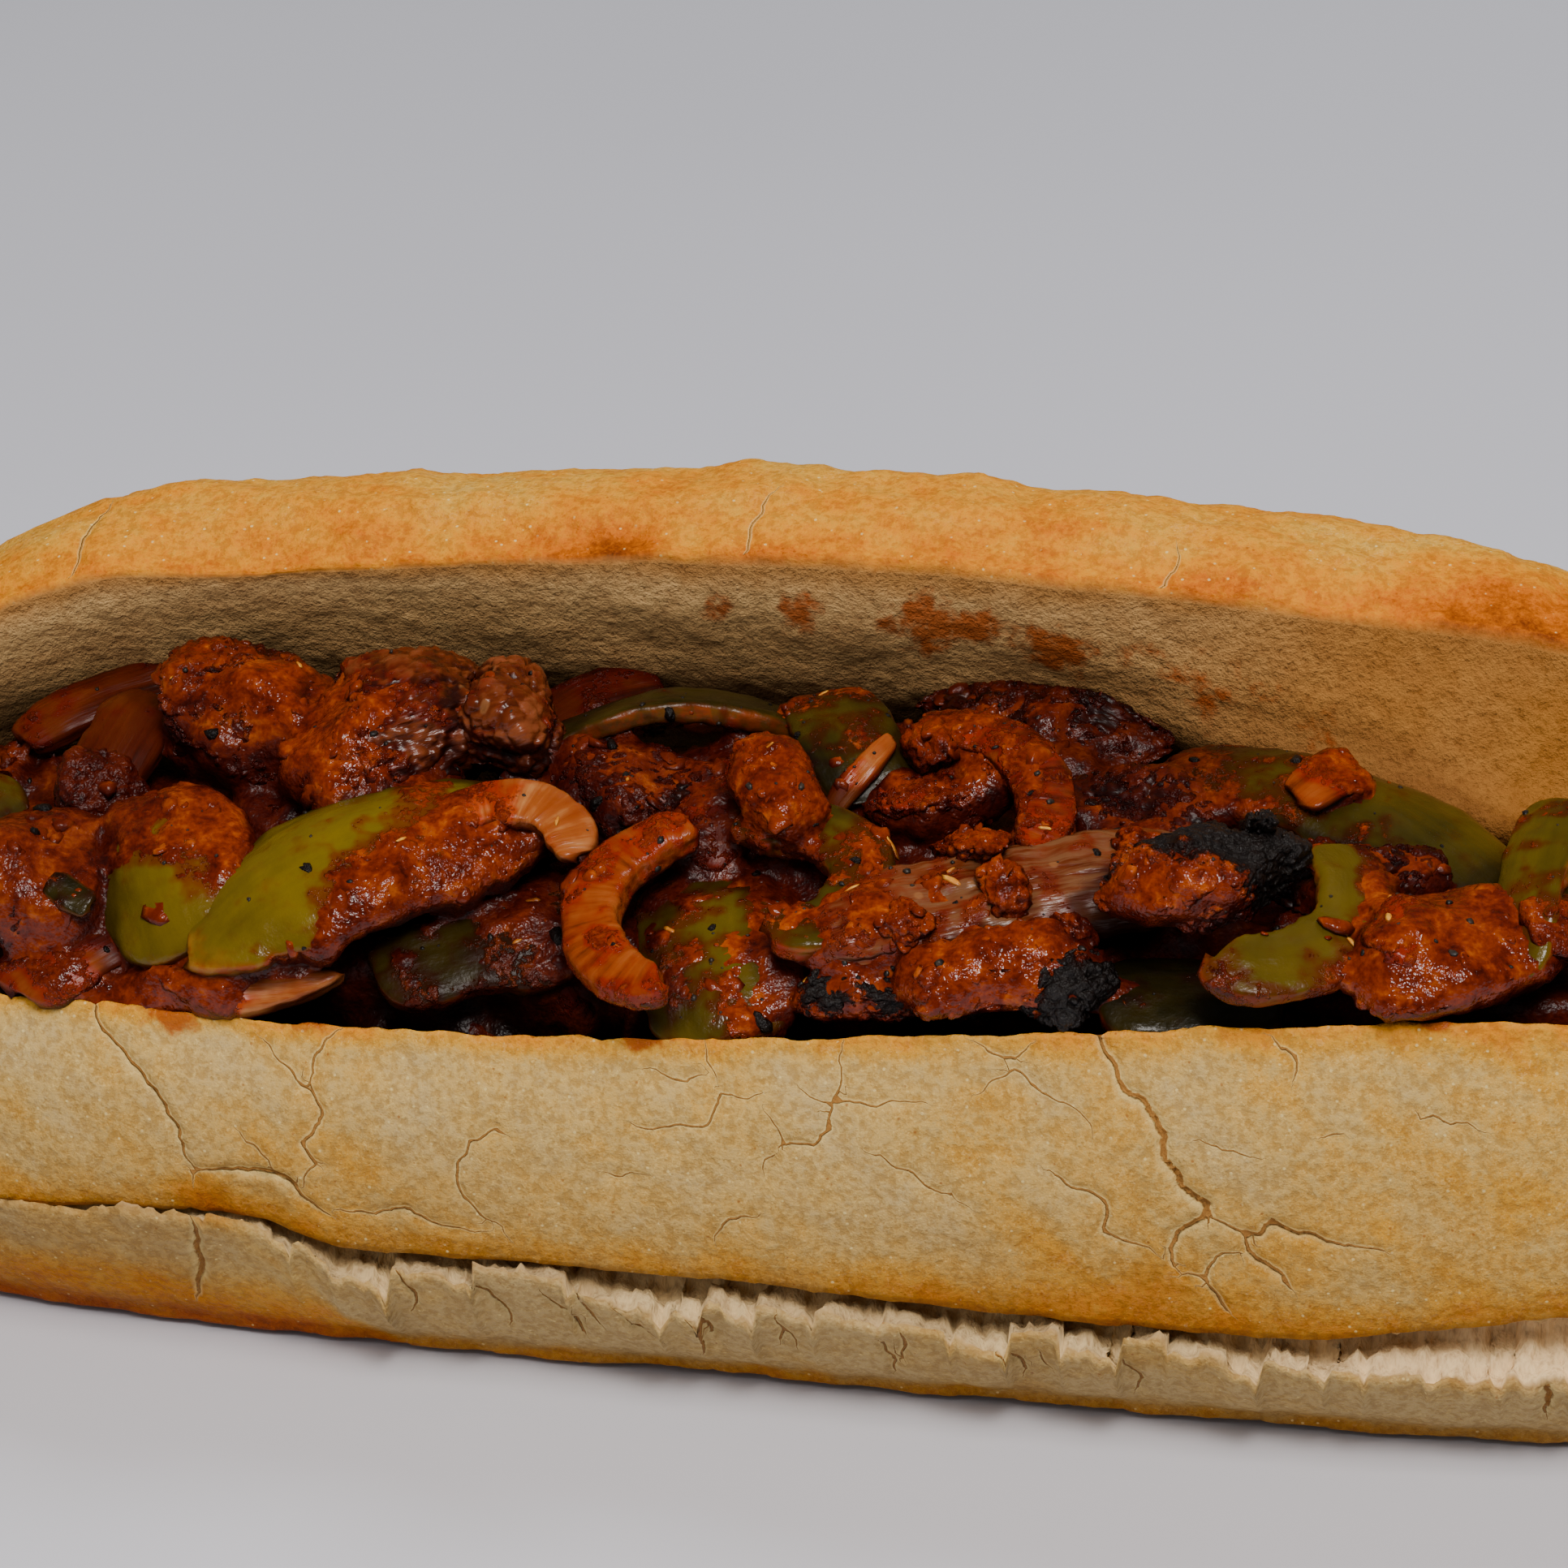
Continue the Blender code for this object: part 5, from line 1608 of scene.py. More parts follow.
# Each cut's node, food, length, width, thickness, heading, tone and sauce, and what else sets it apart.
CUTS = (
    Cut("onion_curl", ONION, 18, 5.4, 1.8, -6, 0.36, 0.34, arc=145, bend=40, twist=10, toward=-0.9,
        across=True, shift=(-2.0, 0.6, 0.8)),
    Cut("onion_over_pepper", ONION, 12, 7.0, 3.8, -52, 0.6, 0.95, lump=True, rounds=5,
        shift=(-3.4, 0.2, 0.2)),
    Cut("pepper_wedge_big", PEPPER, 37, 17, 3.8, 30, 0.12, 0.4, bend=50, cup=85, arc=36, roll=-6, blunt=2.4,
        toward=0.9, aside=-0.6, shift=(-0.6, 0.8, 0.8)),
    Cut("onion_on_pepper", ONION, 7.4, 5.6, 1.0, 48, 0.7, 0.72, bend=35, twist=20, blunt=6.0, toward=1.2,
        shift=(0.0, 0.0, -1.5)),
    Cut("onion_bit_right", ONION, 8, 5.4, 2.0, 75, 0.8, 0.6, cup=40, shift=(0.0, 0.0, -0.6)),
    Cut("char_crust", CHAR, 19, 9.0, 6.8, 22, 0.5, 0.3, lump=True, toward=-0.9, aside=-0.8,
        shift=(0.0, 0.2, 0.8)),
    Cut("pepper_wedge_small", PEPPER, 19, 14.5, 5.0, -62, 0.1, 0.42, bend=40, cup=85, roll=12, blunt=2.8,
        toward=-0.45, aside=0.9, shift=(0.4, 0.6, 0.0)),
    Cut("beef_front", BEEF, 16, 8.5, 6.4, 10, 0.7, 0.95, lump=True),
    Cut("beef_main", BEEF, 22, 17, 12, 32, 0.65, 0.36, lump=True, toward=-0.9, dusk=0.06),
    Cut("pepper_fold", PEPPER, 25, 7.4, 2.0, -118, 0.1, 0.32, arc=150, bend=25, roll=-15, twist=-15,
        aside=0.6, shift=(-1.0, 0.6, 1.8), dusk=-0.4),
    Cut("onion_arc", ONION, 24, 5.6, 2.8, -52, 0.8, 0.56, arc=125, bend=25, across=True,
        shift=(-0.5, 0.5, 0.6)),
    Cut("pepper_slab_back", PEPPER, 16, 9.0, 2.4, -62, 0.68, 0.34, bend=55, cup=30, toward=-0.5, dusk=0.15),
    Cut("pepper_curl", PEPPER, 27, 6.0, 2.6, -70, 0.55, 0.48, arc=235),
    Cut("beef_lobe", BEEF, 13, 13, 10, 25, 0.95, 0.15, lump=True, shift=(-0.6, 0.0, 0.8)),
    Cut("beef_strip", BEEF, 41, 11.5, 5.6, 20, 0.4, 0.28, bend=20, blunt=3.0, toward=-0.4, fibre=0.7,
        shift=(0.0, 0.3, 0.9)),
    Cut("beef_left", BEEF, 16, 15, 9.5, 20, 0.6, 0.8, lump=True, dusk=0.5),
    Cut("char_knob", CHAR, 9, 7.5, 6.0, 20, 0.5, 0.3, lump=True, aside=0.5, shift=(0.0, 0.0, 1.0)),
    Cut("pepper_arch", PEPPER, 39, 7.5, 2.2, 15, 0.8, 0.14, bend=95, roll=-35, blunt=2.6,
        shift=(-2.5, -1.0, 0.6), dusk=0.12),
    Cut("beef_dark", BEEF, 20, 15, 10, -30, 0.6, 0.7, lump=True, shift=(1.0, 0.0, 0.0), dusk=0.2),
    Cut("beef_right", BEEF, 26, 13, 4.6, 33, 0.5, 0.95, lump=True, dusk=0.05),
    Cut("pepper_slope_back", PEPPER, 34, 13, 3.0, -26, 0.62, 0.3, bend=38, cup=60, roll=-8, twist=14,
        toward=-0.5, aside=-0.3, dusk=0.08),
    Cut("onion_ring_front", ONION, 27, 5.4, 3.4, 92, 0.62, 0.4, arc=165, roll=-12, across=True,
        shift=(-0.8, 0.0, 1.2)),
    Cut("onion_tip", ONION, 17, 6.4, 3.2, 8, 0.12, 0.46, bend=-25, cup=50, blunt=1.6, toward=-0.9),
    Cut("onion_mid", ONION, 13, 8.0, 2.6, 75, 0.75, 0.5, bend=45, cup=30, dusk=0.1),
    Cut("pepper_wide", PEPPER, 21, 15, 2.8, -80, 0.4, 0.44, bend=55, cup=45),
    Cut("onion_clear", ONION, 15, 9, 2.6, 48, 0.62, 0.42, bend=45, cup=30, dusk=0.12),
    Cut("onion_chopped", ONION, 13, 8.0, 6.5, 25, 0.6, 0.7, lump=True, dusk=0.25),
    Cut("beef_mid", BEEF, 17, 13, 8.5, -15, 0.35, 0.6, lump=True, dusk=0.55),
    Cut("pepper_dark", PEPPER, 21, 13, 2.8, 22, 0.62, 0.58, bend=20, cup=45, dusk=0.25),
    Cut("onion_stood", ONION, 16, 7.5, 2.8, -100, 0.6, 0.2, bend=45, cup=25, dusk=0.35),
    Cut("char_oval", CHAR, 17, 4.6, 4.6, 2, 0.5, 0.22, lump=True, aside=-0.6, shift=(0.0, -0.6, 1.4)),
    Cut("pepper_shade", PEPPER, 16, 10, 2.6, 2, 0.9, 0.15, cup=40, dusk=0.3),
    Cut("onion_under_lid", ONION, 17, 5.6, 2.6, 36, 0.7, 0.3, bend=35, dusk=0.4),
    Cut("tomato_front", BEEF, 13, 5.5, 5.0, 5, 0.6, 1.0, lump=True, dusk=0.3),
    Cut("beef_gap", BEEF, 16, 12, 8, 40, 0.2, 0.5, lump=True, dusk=0.85),
    Cut("beef_behind", BEEF, 18, 12, 8, -15, 0.3, 0.6, lump=True, dusk=0.85),
    Cut("beef_back", BEEF, 26, 10, 8, -8, 0.3, 0.6, lump=True, dusk=0.85),
    Cut("onion_back", ONION, 12, 6.5, 2.6, 35, 0.7, 0.4, bend=40, dusk=0.55),
    Cut("pepper_left_end", PEPPER, 24, 10, 2.8, 18, 0.3, 0.3, bend=45, cup=50),
    Cut("onion_left_end", ONION, 20, 5, 2.8, 20, 0.4, 0.35, arc=150),
    Cut("beef_left_end", BEEF, 14, 10, 8, 10, 0.5, 0.6, lump=True),
    Cut("pepper_right_end", PEPPER, 28, 11, 2.8, -16, 0.4, 0.3, bend=50, cup=50),
    Cut("beef_right_end", BEEF, 18, 12, 9, -12, 0.5, 0.6, lump=True),
    Cut("onion_right_end", ONION, 18, 5, 2.8, -30, 0.5, 0.35, arc=130),
)


@dataclass(frozen=True)
class Layer:
    """One thing that small bits can land on."""

    owner: str
    tree: BVHTree
    sauce: list[float]  # of each face


@dataclass(frozen=True)
class Landing:
    """Where something comes down on the heap."""

    place: Vector
    normal: Vector
    owner: str
    sauce: float

    @property
    def lie(self) -> Matrix:
        """The turn that lays something flat on it."""
        return self.normal.to_track_quat("Z", "X").to_matrix()


@dataclass
class Heap:
    """The surface of everything that has been laid so far."""

    form: RollForm
    layers: list[Layer] = field(default_factory=list)
    shells: Mesh = field(default_factory=bmesh.new)  # all that melts into the sauce
    places: list[Array] = field(default_factory=list)
    coats: list[Array] = field(default_factory=list)
    every: int = 2  # one vertex in so many says how saucy its surroundings are
    stations: int = 121  # along the roll, between which its slope is read
    above: float = 30.0  # how far out of the slope things start to fall

    def melt(self, skin: Skin) -> None:
        """Adds a thing that has been added to what the sauce is made from."""
        copied(skin.mesh, self.shells)
        self.places.append(skin.points[:: self.every])
        self.coats.append(skin.marks["sauce"][:: self.every])

    def coat(self, points: Array) -> Array:
        """How saucy the nearest thing is, for each point."""
        places, coats = np.concatenate(self.places), np.concatenate(self.coats)
        tree = KDTree(len(places))
        for i, place in enumerate(places.tolist()):
            tree.insert(place, i)
        tree.balance()
        return coats[[tree.find(point)[1] for point in points.tolist()]]

    def height(self, points: Array) -> Array:
        """How far each point stands out from the heap's slope."""
        xs = np.linspace(-self.form.length / 2, self.form.length / 2, self.stations)
        slopes = np.array([self.form.slope(x) for x in xs])
        foot, _, outward = np.array(
            [[np.interp(points[:, 0], xs, slopes[:, i, k]) for k in range(3)] for i in range(3)]
        )
        return ((points.T - foot) * outward).sum(axis=0)

    def add(self, owner: str, skin: Skin) -> None:
        """Adds a thing's surface.

        Args:
            owner: The thing's name.
            skin: Its skin, already in place.
        """
        skin.settle()
        sauce = skin.marks["sauce"]
        skin.mesh.verts.index_update()
        first = [face.verts[0].index for face in skin.mesh.faces]
        self.layers.append(Layer(owner, BVHTree.FromBMesh(skin.mesh), sauce[first].tolist()))

    def drop(self, x: float, climb: float) -> Landing | None:
        """Drops a point onto the heap, square to its slope.

        Args:
            x: Where along the roll.
            climb: How far up the slope, from 0 at the front wall to 1 under the lid.

        Returns:
            Where it lands, or None where nothing lies.
        """
        foot, rise, outward = self.form.slope(x)
        start = foot + rise * climb + outward * self.above
        landing, least = None, 2 * self.above
        for layer in self.layers:
            place, normal, face, distance = layer.tree.ray_cast(start, -outward, least)
            if place is not None and distance < least:
                landing, least = Landing(place, normal, layer.owner, layer.sauce[face]), distance
        return landing


class Pile:
    """Many small things of one kind, joined into one mesh."""

    def __init__(self) -> None:
        """Starts an empty pile."""
        self.mesh = bmesh.new()
        self.marks: dict[str, list[Array]] = {}

    def add(self, skin: Skin) -> None:
        """Adds a thing that is already in place, and frees its own mesh."""
        skin.settle()
        copied(skin.mesh, self.mesh)
        skin.mesh.free()
        for mark, values in skin.marks.items():
            self.marks.setdefault(mark, []).append(values)

    def joined(self) -> Skin:
        """All of it as one skin."""
        skin = Skin(self.mesh)
        skin.marks = {mark: np.concatenate(values) for mark, values in self.marks.items()}
        return skin


@dataclass(frozen=True)
class Grit:
    """A kind of small bit: how many, how large, how flat and long, and how deep each one sinks in."""

    name: str
    slot: str
    count: int
    smallest: float
    largest: float
    flat: float
    long: float
    sunk: float
    rough: float
    thirst: float  # how much it keeps to where sauce lies
    fineness: tuple[int, int] = (8, 5)

    def build(self, heap: Heap, span: Sequence[float], seed: int) -> Skin:
        """Scatters the bits.

        Args:
            heap: What they land on.
            span: Where they lie along the roll.
            seed: Starts their random places.

        Returns:
            One skin for all of them.
        """
        draw = random.Random(seed)
        pile = Pile()
        tries = 0
        laid = 0
        while laid < self.count and tries < 20 * self.count:
            tries += 1
            landing = heap.drop(draw.triangular(*span, 0), draw.uniform(0.03, 0.97))
            size = self.smallest + (self.largest - self.smallest) * draw.random() ** 2.5
            turn = draw.uniform(0, 2 * math.pi)
            stretch = draw.uniform(0.75, 1.35)
            if landing is None or draw.random() > 1 - self.thirst * (1 - landing.sauce):
                continue
            mesh = bmesh.new()
            across, up = self.fineness
            bmesh.ops.create_uvsphere(mesh, u_segments=across, v_segments=up, radius=size / 2)
            bmesh.ops.scale(mesh, vec=(self.long * stretch, 1.0, self.flat), verts=mesh.verts)
            lie = landing.lie @ Matrix.Rotation(turn, 3, "Z")
            bmesh.ops.rotate(mesh, matrix=lie, verts=mesh.verts)
            bmesh.ops.recalc_face_normals(mesh, faces=mesh.faces)
            skin = Skin(mesh)
            skin.push(self.rough * size * rough(skin.points + laid * 3.1, 0.8 * size, seed, 2))
            skin.points += np.array(landing.place - landing.normal * size * self.sunk)
            pile.add(skin)
            laid += 1
        return pile.joined()


GRIT = (
    (Grit("tomato_pulp_bits", "sauce", 520, 0.5, 2.3, 0.42, 1.35, 0.16, 0.34, 0.95), "pulp"),
    (Grit("ground_pepper", "char", 230, 0.22, 0.8, 0.7, 1.2, 0.05, 0.30, 0.2, (6, 4)), "pepper"),
    (Grit("char_crumbs", "char", 50, 0.4, 1.6, 0.7, 1.3, 0.10, 0.35, 0.3), "char"),
    (Grit("carrot_shreds", "pepper", 26, 0.4, 0.9, 0.6, 3.0, 0.10, 0.20, 0.6), "shred"),
)

# Small cuts that lie in the gaps between the large ones: how many, and the range of each size.
GAP_CUTS = (
    ("onion_scraps", Food.ONION, 40, (5.0, 11.0), (2.6, 4.8), (1.3, 2.2)),
    ("pepper_scraps", Food.PEPPER, 16, (4.0, 9.0), (2.8, 5.0), (1.6, 2.4)),
    ("beef_scraps", Food.BEEF, 42, (4.5, 9.5), (3.2, 6.0), (2.6, 4.6)),
)


# Small things that lie on top, each with its place along the roll and up the slope.
TOPPINGS = (
    (Cut("orange_sliver", ONION, 9.5, 2.4, 1.3, -40, 0.4, 0.3, bend=30), 4.6, 0.6),
    (Cut("onion_cube", ONION, 3.0, 2.6, 2.2, 20, 0.35, 0.2), 1.2, 0.28),
    (Cut("char_spur_upper", CHAR, 8.0, 2.6, 2.0, 62, 0.5, 0.05, lump=True, rounds=5,
        shift=(0, 0, 1.0)), 38.5, 0.48),
    (Cut("char_spur_side", CHAR, 7.5, 2.4, 2.0, 5, 0.5, 0.1, lump=True, rounds=5,
        shift=(0, 0, 0.5)), 42.0, 0.38),
    (Cut("tomato_on_strip", ONION, 9.5, 4.6, 3.2, 8, 0.75, 0.95, lump=True, rounds=5), 16, 0.37),
    (Cut("tomato_by_char", ONION, 4.5, 3.8, 2.6, 30, 0.75, 0.95, lump=True, rounds=4), 31, 0.43),
    (Cut("tomato_front_left", ONION, 5.0, 4.0, 2.8, 70, 0.7, 1.0, lump=True, rounds=4), 12, 0.16),
    (Cut("tomato_front_mid", ONION, 6.0, 4.4, 3.0, 20, 0.7, 1.0, lump=True, rounds=4), 20, 0.24),
    (Cut("tomato_front_right", ONION, 4.6, 3.6, 2.6, -30, 0.7, 1.0, lump=True, rounds=4), 26.5, 0.19),
    (Cut("pepper_chip", PEPPER, 5.0, 3.0, 1.0, 55, 0.85, 0.35, dusk=0.2), -65, 0.17),
    (Cut("tomato_on_pepper", ONION, 6.0, 3.4, 2.0, 15, 0.8, 0.95, lump=True, rounds=4), 57, 0.96),
    (Cut("pepper_on_beef", PEPPER, 20, 6.5, 2.2, 38, 0.42, 0.44, bend=35, cup=30), 66, 0.4),
    (Cut("onion_right_pale", ONION, 9, 5.6, 1.6, 60, 0.6, 0.62, bend=30, cup=30), 69.5, 0.24),
    (Cut("tomato_by_onion", ONION, 6.0, 4.6, 3.2, 70, 0.75, 0.95, lump=True, rounds=4), 10.5, 0.66),
    (Cut("tomato_left", BEEF, 13, 9.0, 5.0, 12, 0.6, 0.9, lump=True, rounds=5, dusk=0.3), -66, 0.5),
)


class Crowding:
    """How much there is around each place, from the cells of an even grid that meshes pass through."""

    cell = 1.0
    margin = 16
    close = 2
    wide = 5

    def __init__(self, places: Array) -> None:
        """Fills the cells that any of the places lies in."""
        self.low = places.min(axis=0) - self.margin * self.cell
        cells = ((places - self.low) / self.cell).astype(int)
        full = np.zeros(cells.max(axis=0) + 1 + self.margin)
        full[tuple(cells.T)] = 1.0
        self.shares = {reach: self.blurred(full, reach) for reach in (self.close, self.wide)}

    @staticmethod
    def blurred(grid: Array, reach: int) -> Array:
        """Each cell's mean over the cells up to `reach` away from it."""
        for axis in range(3):
            total = np.cumsum(np.moveaxis(grid, axis, 0), axis=0)
            mean = np.zeros(total.shape)
            mean[reach + 1 : -reach] = (total[2 * reach + 1 :] - total[: -2 * reach - 1]) / (2 * reach + 1)
            grid = np.moveaxis(mean, 0, axis)
        return grid

    def near(self, points: Array, normals: Array, reach: int) -> Array:
        """The share of full cells in a box that lies just off each point.

        Args:
            points: The points.
            normals: The way from each of them to its box.
            reach: How many cells the box reaches from its middle.

        Returns:
            One share a point.
        """
        grid = self.shares[reach]
        spots = (points + normals * (reach + 1.5) * self.cell - self.low) / self.cell - 0.5
        base = np.clip(np.floor(spots).astype(int), 0, np.array(grid.shape) - 2)
        share = spots - base
        found = np.zeros(len(points))
        for corner in itertools.product((0, 1), repeat=3):
            weight = np.prod(np.where(np.array(corner) == 1, share, 1 - share), axis=1)
            found += weight * grid[tuple((base + np.array(corner)).T)]
        return found

    def deep(self, skin: Skin) -> Array:
        """How little light gets to each of a skin's vertices, from 0 to 1."""
        close = self.near(skin.points, skin.normals, self.close)
        wide = self.near(skin.points, skin.normals, self.wide)
        return 0.9 * eased(0.10, 0.58, close + 1.5 * wide)


@dataclass(frozen=True)
class Piece:
    """A finished shape that waits for its shading."""

    skin: Skin
    name: str
    slot: str
    look: Material
    nodes: tuple[str, ...] = ()
    # Painted shade added to what its crowding gives.
    dusk: float = 0.0


# Where more sauce lies between the cuts: along the roll, up the slope, how far it reaches and how deep.
FLOODS = (
    (2, 0.16, 8, 1.0), (14, 0.26, 6, 0.9), (25, 0.2, 7, 1.0), (-2, 0.52, 8, 0.7), (20, 0.66, 7, 0.7),
    (-42, 0.1, 8, 0.8), (-64, 0.35, 10, 1.1), (62, 0.22, 10, 0.9), (-46, 0.75, 9, 0.7), (-14, 0.25, 6, 0.5),
)


# Painted shade on the heap, where little light gets in, given in the same way.
SHADES = (
    (-70, 0.3, 14, 0.5), (-66, 0.7, 12, 0.5), (-16, 0.62, 9, 0.8), (-24, 0.85, 6, 0.6), (27, 0.8, 10, 0.85),
    (33, 0.64, 6, 0.5), (-33, 0.06, 8, 0.9), (-26, 0.1, 7, 0.7), (53, 0.46, 4.5, 0.8), (2, 0.4, 2.2, 0.6),
    (31, 0.14, 6, 0.55), (-56, 0.62, 5, 0.5), (8, 0.8, 6, 0.45), (40, 0.86, 7, 0.4), (62, 0.22, 9, 0.25),
)


@dataclass
class Filling:
    """All the cuts and the sauce between them."""

    heap: Heap
    looks: dict[Food, Material]
    sauce: SauceLook
    core_voxel: float = 1.0
    voxel: float = 0.78
    smoothing: int = 6
    scrap_step: float = 0.62
    scrap_rounds: int = 4
    raised: float = 3.0  # how far out of the slope the floods and shades have their middles
    core_sunk: float = 1.4  # how far below its CAD shape the core's top lies
    coat: float = 0.95  # how thick the film is on the sauciest cuts
    sunk: float = 0.80  # and how far it lies below the surface of dry ones
    flood: float = 1.5  # how deep the floods are at most
    deepest: float = 0.94  # how dark the painted shade can make a place
    scrap_span: tuple[float, float] = (-90, 94)  # where scraps lie, along the roll
    grit_span: tuple[float, float] = (-88, 92)  # and the small bits
    pieces: list[Piece] = field(default_factory=list)

    def cuts(self) -> None:
        """Makes each cut in place of its CAD node."""
        for seed, cut in enumerate(CUTS):
            low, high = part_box(cut.node)
            centre = (low + high) / (2 * MM)
            _, rise, outward = self.heap.form.slope(centre.x)
            up = rise.normalized()
            axes = Matrix(((1, up.x, outward.x), (0, up.y, outward.y), (0, up.z, outward.z)))
            skin = cut.build(seed)
            skin.place(cut.turned(axes), centre + axes @ Vector(cut.shift))
            self.heap.add(cut.node, skin)
            self.heap.melt(skin)
            look = self.looks[cut.food]
            self.pieces.append(Piece(skin, f"{cut.node}_cut", cut.food.value, look, (cut.node,), cut.dusk))

    def core(self, node: bpy.types.Object) -> None:
        """Lays what is under the cuts: the CAD node's shape, with a lower and uneven top.

        Args:
            node: The CAD node.
        """
        mesh = bmesh.new()
        mesh.from_mesh(node.data)
        bmesh.ops.remove_doubles(mesh, verts=mesh.verts, dist=MERGE * MM)
        bmesh.ops.scale(mesh, vec=(1 / MM,) * 3, verts=mesh.verts)
        skin = Skin(melted(mesh, self.core_voxel))
        upper = eased(0.0, 0.5, skin.normals[:, 2] - 0.6 * skin.normals[:, 1])
        skin.push(upper * (1.5 * rough(skin.points, 5, 40) - self.core_sunk))
        skin.marks["sauce"] = np.ones(len(skin.points))
        self.heap.add(CORE, skin)
        self.heap.melt(skin)
        skin.mesh.free()

    def spread(self, places: Sequence[tuple[float, ...]], points: Array) -> Array:
        """The sum of round marks on the heap, each given by its place, its reach and its strength."""
        marks = 0.0
        for x, climb, reach, strength in places:
            foot, rise, outward = self.heap.form.slope(x)
            marks = marks + Spot(*(foot + rise * climb + outward * self.raised), reach, strength).on(points)
        return marks

    def film(self, node: str) -> None:
        """Melts the core and all the cuts into one sauce that fills their creases and coats them.

        Args:
            node: The CAD node that it stands for.
        """
        mesh = melted(self.heap.shells, self.voxel)
        axes = {f"use_axis_{axis}": True for axis in "xyz"}
        for _ in range(self.smoothing):
            bmesh.ops.smooth_vert(mesh, verts=mesh.verts, factor=0.5, **axes)
        skin = Skin(mesh)
        points = skin.points
        lumps = 0.42 * rough(points, 4.5, 40) + 0.20 * rough(points, 1.6, 41) + 0.09 * rough(points, 0.8, 42)
        floods = np.clip(self.spread(FLOODS, points), 0.0, self.flood)
        skin.push(self.coat * self.heap.coat(points) - self.sunk + lumps + floods)
        # Painted shade: the sauce is drawn darker the deeper it lies below the heap's slope.
        deep = eased(1.0, -4.5, self.heap.height(points) + 1.5 * rough(points, 4.0, 43))
        skin.marks["hollow"] = np.clip(deep, 0.0, 0.92)
        skin.marks["sauce"] = np.ones(len(points))
        self.heap.add(node, skin)
        self.pieces.append(Piece(skin, "tomato_sauce", "sauce", self.sauce.mass(), (node,)))

    def scraps(self) -> None:
        """Lays small cuts in the gaps, where only sauce shows."""
        draw = random.Random(7)
        for seed, (name, food, count, lengths, widths, depths) in enumerate(GAP_CUTS, 100):
            pile = Pile()
            laid = 0
            for turn in range(12 * count):
                landing = self.heap.drop(draw.triangular(*self.scrap_span, 0), draw.uniform(0.03, 0.95))
                if landing is None or landing.owner != CORE:
                    continue
                cut = Cut(
                    name, food, draw.uniform(*lengths), draw.uniform(*widths), draw.uniform(*depths),
                    heading=draw.uniform(0, 360), roll=draw.uniform(-35, 35), bend=draw.uniform(-20, 80),
                    arc=draw.uniform(0, 60), tone=draw.uniform(0.4, 0.95), sauce=draw.uniform(0.5, 1.0),
                    lump=food is Food.BEEF, step=self.scrap_step, rounds=self.scrap_rounds,
                )
                skin = cut.build(seed + turn / 7)
                skin.place(cut.turned(landing.lie), landing.place + landing.normal * 0.15 * cut.thickness)
                pile.add(skin)
                laid += 1
                if laid == count:
                    break
            skin = pile.joined()
            self.heap.add(name, skin)
            self.heap.melt(skin)
            # Scraps lie down in the gaps, so they get more painted shade.
            self.pieces.append(Piece(skin, name, food.value, self.looks[food], dusk=0.25))

    def toppings(self) -> None:
        """Lays the small things that stand out on top of the sauce."""
        for seed, (cut, x, climb) in enumerate(TOPPINGS, 150):
            landing = self.heap.drop(x, climb)
            skin = cut.build(seed)
            skin.place(cut.turned(landing.lie), landing.place + landing.normal * cut.shift[2])
            self.heap.add(cut.node, skin)
            self.pieces.append(Piece(skin, cut.node, cut.food.value, self.looks[cut.food], dusk=cut.dusk))

    def grit(self) -> None:
        """Scatters pulp, ground pepper, char and shreds over everything."""
        looks = {
            "pulp": self.sauce.pulp(),
            "pepper": PlainLook(
                "ground_pepper", (0.006, 0.005, 0.005), (0.030, 0.020, 0.013), 0.45
            ).material(),
            "char": self.looks[Food.CHAR],
            "shred": PlainLook(
                "carrot_shreds", (0.42, 0.13, 0.010), (0.58, 0.27, 0.035), 0.35, 0.8
            ).material(),
        }
        for seed, (grit, look) in enumerate(GRIT, 200):
            skin = grit.build(self.heap, self.grit_span, seed)
            self.pieces.append(Piece(skin, grit.name, grit.slot, looks[look]))

    def serve(self, roll: Skin) -> None:
        """Marks how deep in the heap each part of it lies, as painted shade, and finishes the pieces.

        Args:
            roll: The roll, which shades the heap and is shaded by it.
        """
        crowding = Crowding(np.concatenate([roll.points] + [piece.skin.points for piece in self.pieces]))
        # Painted shade on the crumb where the heap crowds it.
        roll.marks["deep"] = 0.4 * crowding.deep(roll) * roll.marks["crumb"] * (1 - roll.marks["torn"])
        for piece in self.pieces:
            skin = piece.skin
            # Painted shade: from crowding, the piece's dusk and the spots of SHADES.
            deep = crowding.deep(skin) + piece.dusk + self.spread(SHADES, skin.points)
            skin.marks["deep"] = np.clip(deep, 0, self.deepest)
            LOG.info("%s: mean depth %.2f", piece.name, skin.marks["deep"].mean())
            skin.finish(piece.name, piece.slot, piece.look, piece.nodes)


# ---- The stage ----


def bearing(azimuth: float, elevation: float) -> Vector:
    """The way from the sub to what stands at these degrees: 0, 0 is straight in front of its open side."""
    turn, rise = math.radians(azimuth), math.radians(elevation)
    return Vector((math.sin(turn) * math.cos(rise), -math.cos(turn) * math.cos(rise), math.sin(rise)))


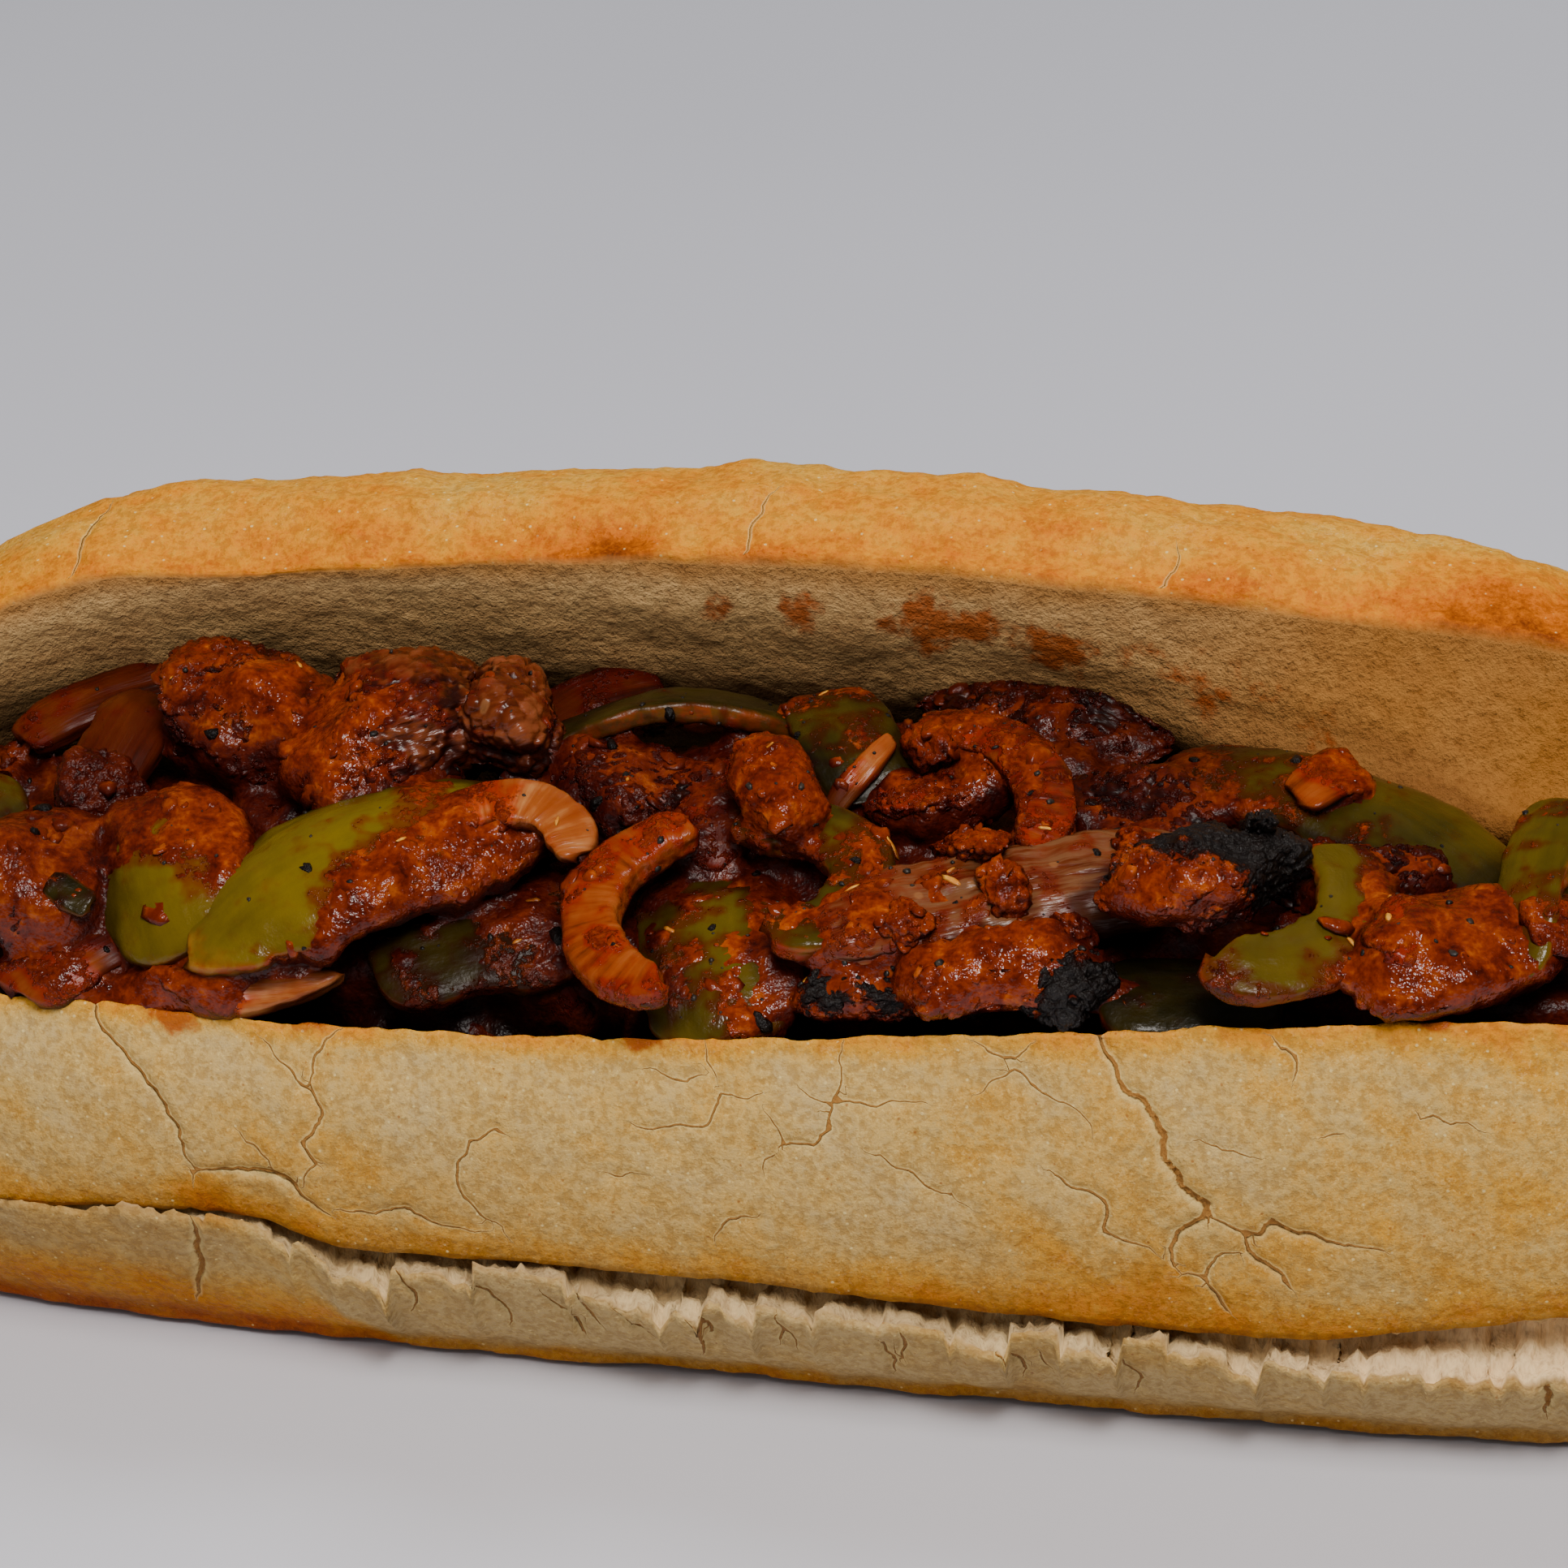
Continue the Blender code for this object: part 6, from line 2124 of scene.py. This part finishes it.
@dataclass(frozen=True)
class Softbox:
    """A square light that faces the sub: where it stands as seen from it, its size and its power."""

    name: str
    azimuth: float
    elevation: float
    distance: float
    side: float
    watts: float
    tint: Colour = (1.0, 1.0, 1.0)
    glints: bool = True  # whether glossy things mirror it

    def place(self, target: Vector) -> None:
        """Adds the light.

        Args:
            target: The point that it faces.
        """
        away = bearing(self.azimuth, self.elevation)
        data = bpy.data.lights.new(self.name, "AREA")
        data.shape = "SQUARE"
        data.size = self.side
        data.energy = self.watts
        data.color = self.tint
        light = shown(self.name, data)
        light.location = target + away * self.distance
        light.rotation_euler = away.to_track_quat("Z", "Y").to_euler()
        light.visible_glossy = self.glints


@dataclass(frozen=True)
class Studio:
    """The camera, the floor and the light."""

    target: tuple[float, float, float] = (-1.7, -15.0, 53.9)
    azimuth: float = 10.0
    elevation: float = 26.0
    distance: float = 457.0
    lens: float = 115.9
    sensor: float = 36.0
    floor_side: float = 6.0
    floor_drop: float = 0.15
    sky: Colour = (0.90, 0.95, 1.0)
    sky_strength: float = 0.10
    lights: tuple[Softbox, ...] = (
        Softbox("key", 12, 60, 0.9, 0.55, 9.0, (1.0, 0.97, 0.93), glints=False),
        Softbox("pane", 20, 56, 0.9, 0.2, 4.6, (1.0, 0.96, 0.91)),
        Softbox("window", 156, 58, 1.1, 0.36, 7.0, (0.90, 0.95, 1.0), glints=False),
        Softbox("fill", -35, 24, 1.3, 0.9, 3.2, glints=False),
    )

    def camera(self) -> None:
        """Looks from where the photograph was taken."""
        away = bearing(self.azimuth, self.elevation)
        data = bpy.data.cameras.new("camera")
        data.lens = self.lens
        data.sensor_width = self.sensor
        data.clip_start = 0.01
        camera = shown("camera", data)
        camera.location = (Vector(self.target) + away * self.distance) * MM
        camera.rotation_euler = (-away).to_track_quat("-Z", "Y").to_euler()
        bpy.context.scene.camera = camera

    def floor(self) -> None:
        """A plain pale floor."""
        mesh = bmesh.new()
        bmesh.ops.create_grid(mesh, x_segments=1, y_segments=1, size=self.floor_side / 2)
        data = bpy.data.meshes.new("floor")
        mesh.to_mesh(data)
        mesh.free()
        floor = shown("floor", data)
        floor.location.z = -self.floor_drop * MM
        look = PlainLook("pale_floor", (0.48, 0.47, 0.51), (0.50, 0.49, 0.53), 0.7, 300.0, 0.0)
        data.materials.append(look.material())

    def light(self) -> None:
        """Soft light from above and the front, with a window behind for glints."""
        world = bpy.data.worlds.new("soft_sky")
        world.use_nodes = True
        background = world.node_tree.nodes["Background"]
        background.inputs["Color"].default_value = (*self.sky, 1.0)
        background.inputs["Strength"].default_value = self.sky_strength
        bpy.context.scene.world = world
        for box in self.lights:
            box.place(Vector(self.target) * MM)


def main() -> None:
    """Builds the sub in its frame, with its stage."""
    logging.basicConfig(level=logging.INFO, format="%(message)s")
    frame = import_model()

    studio = Studio()
    studio.camera()
    studio.floor()
    studio.light()

    sauce = SauceLook()
    form = RollForm.of_frame()
    roll = Roll(form)
    roll.build()

    looks = {
        Food.PEPPER: PepperLook().material(sauce),
        Food.ONION: OnionLook().material(sauce),
        Food.BEEF: BeefLook().material(sauce),
        Food.CHAR: CharLook().material(sauce),
    }
    filling = Filling(Heap(form), looks, sauce)
    filling.cuts()
    filling.core(frame["nodes"]["filling_core"])
    filling.scraps()
    filling.film("filling_core")
    filling.toppings()
    filling.grit()
    filling.serve(roll.skin)
    roll.dress(CrustLook())


if __name__ == "__main__":
    main()
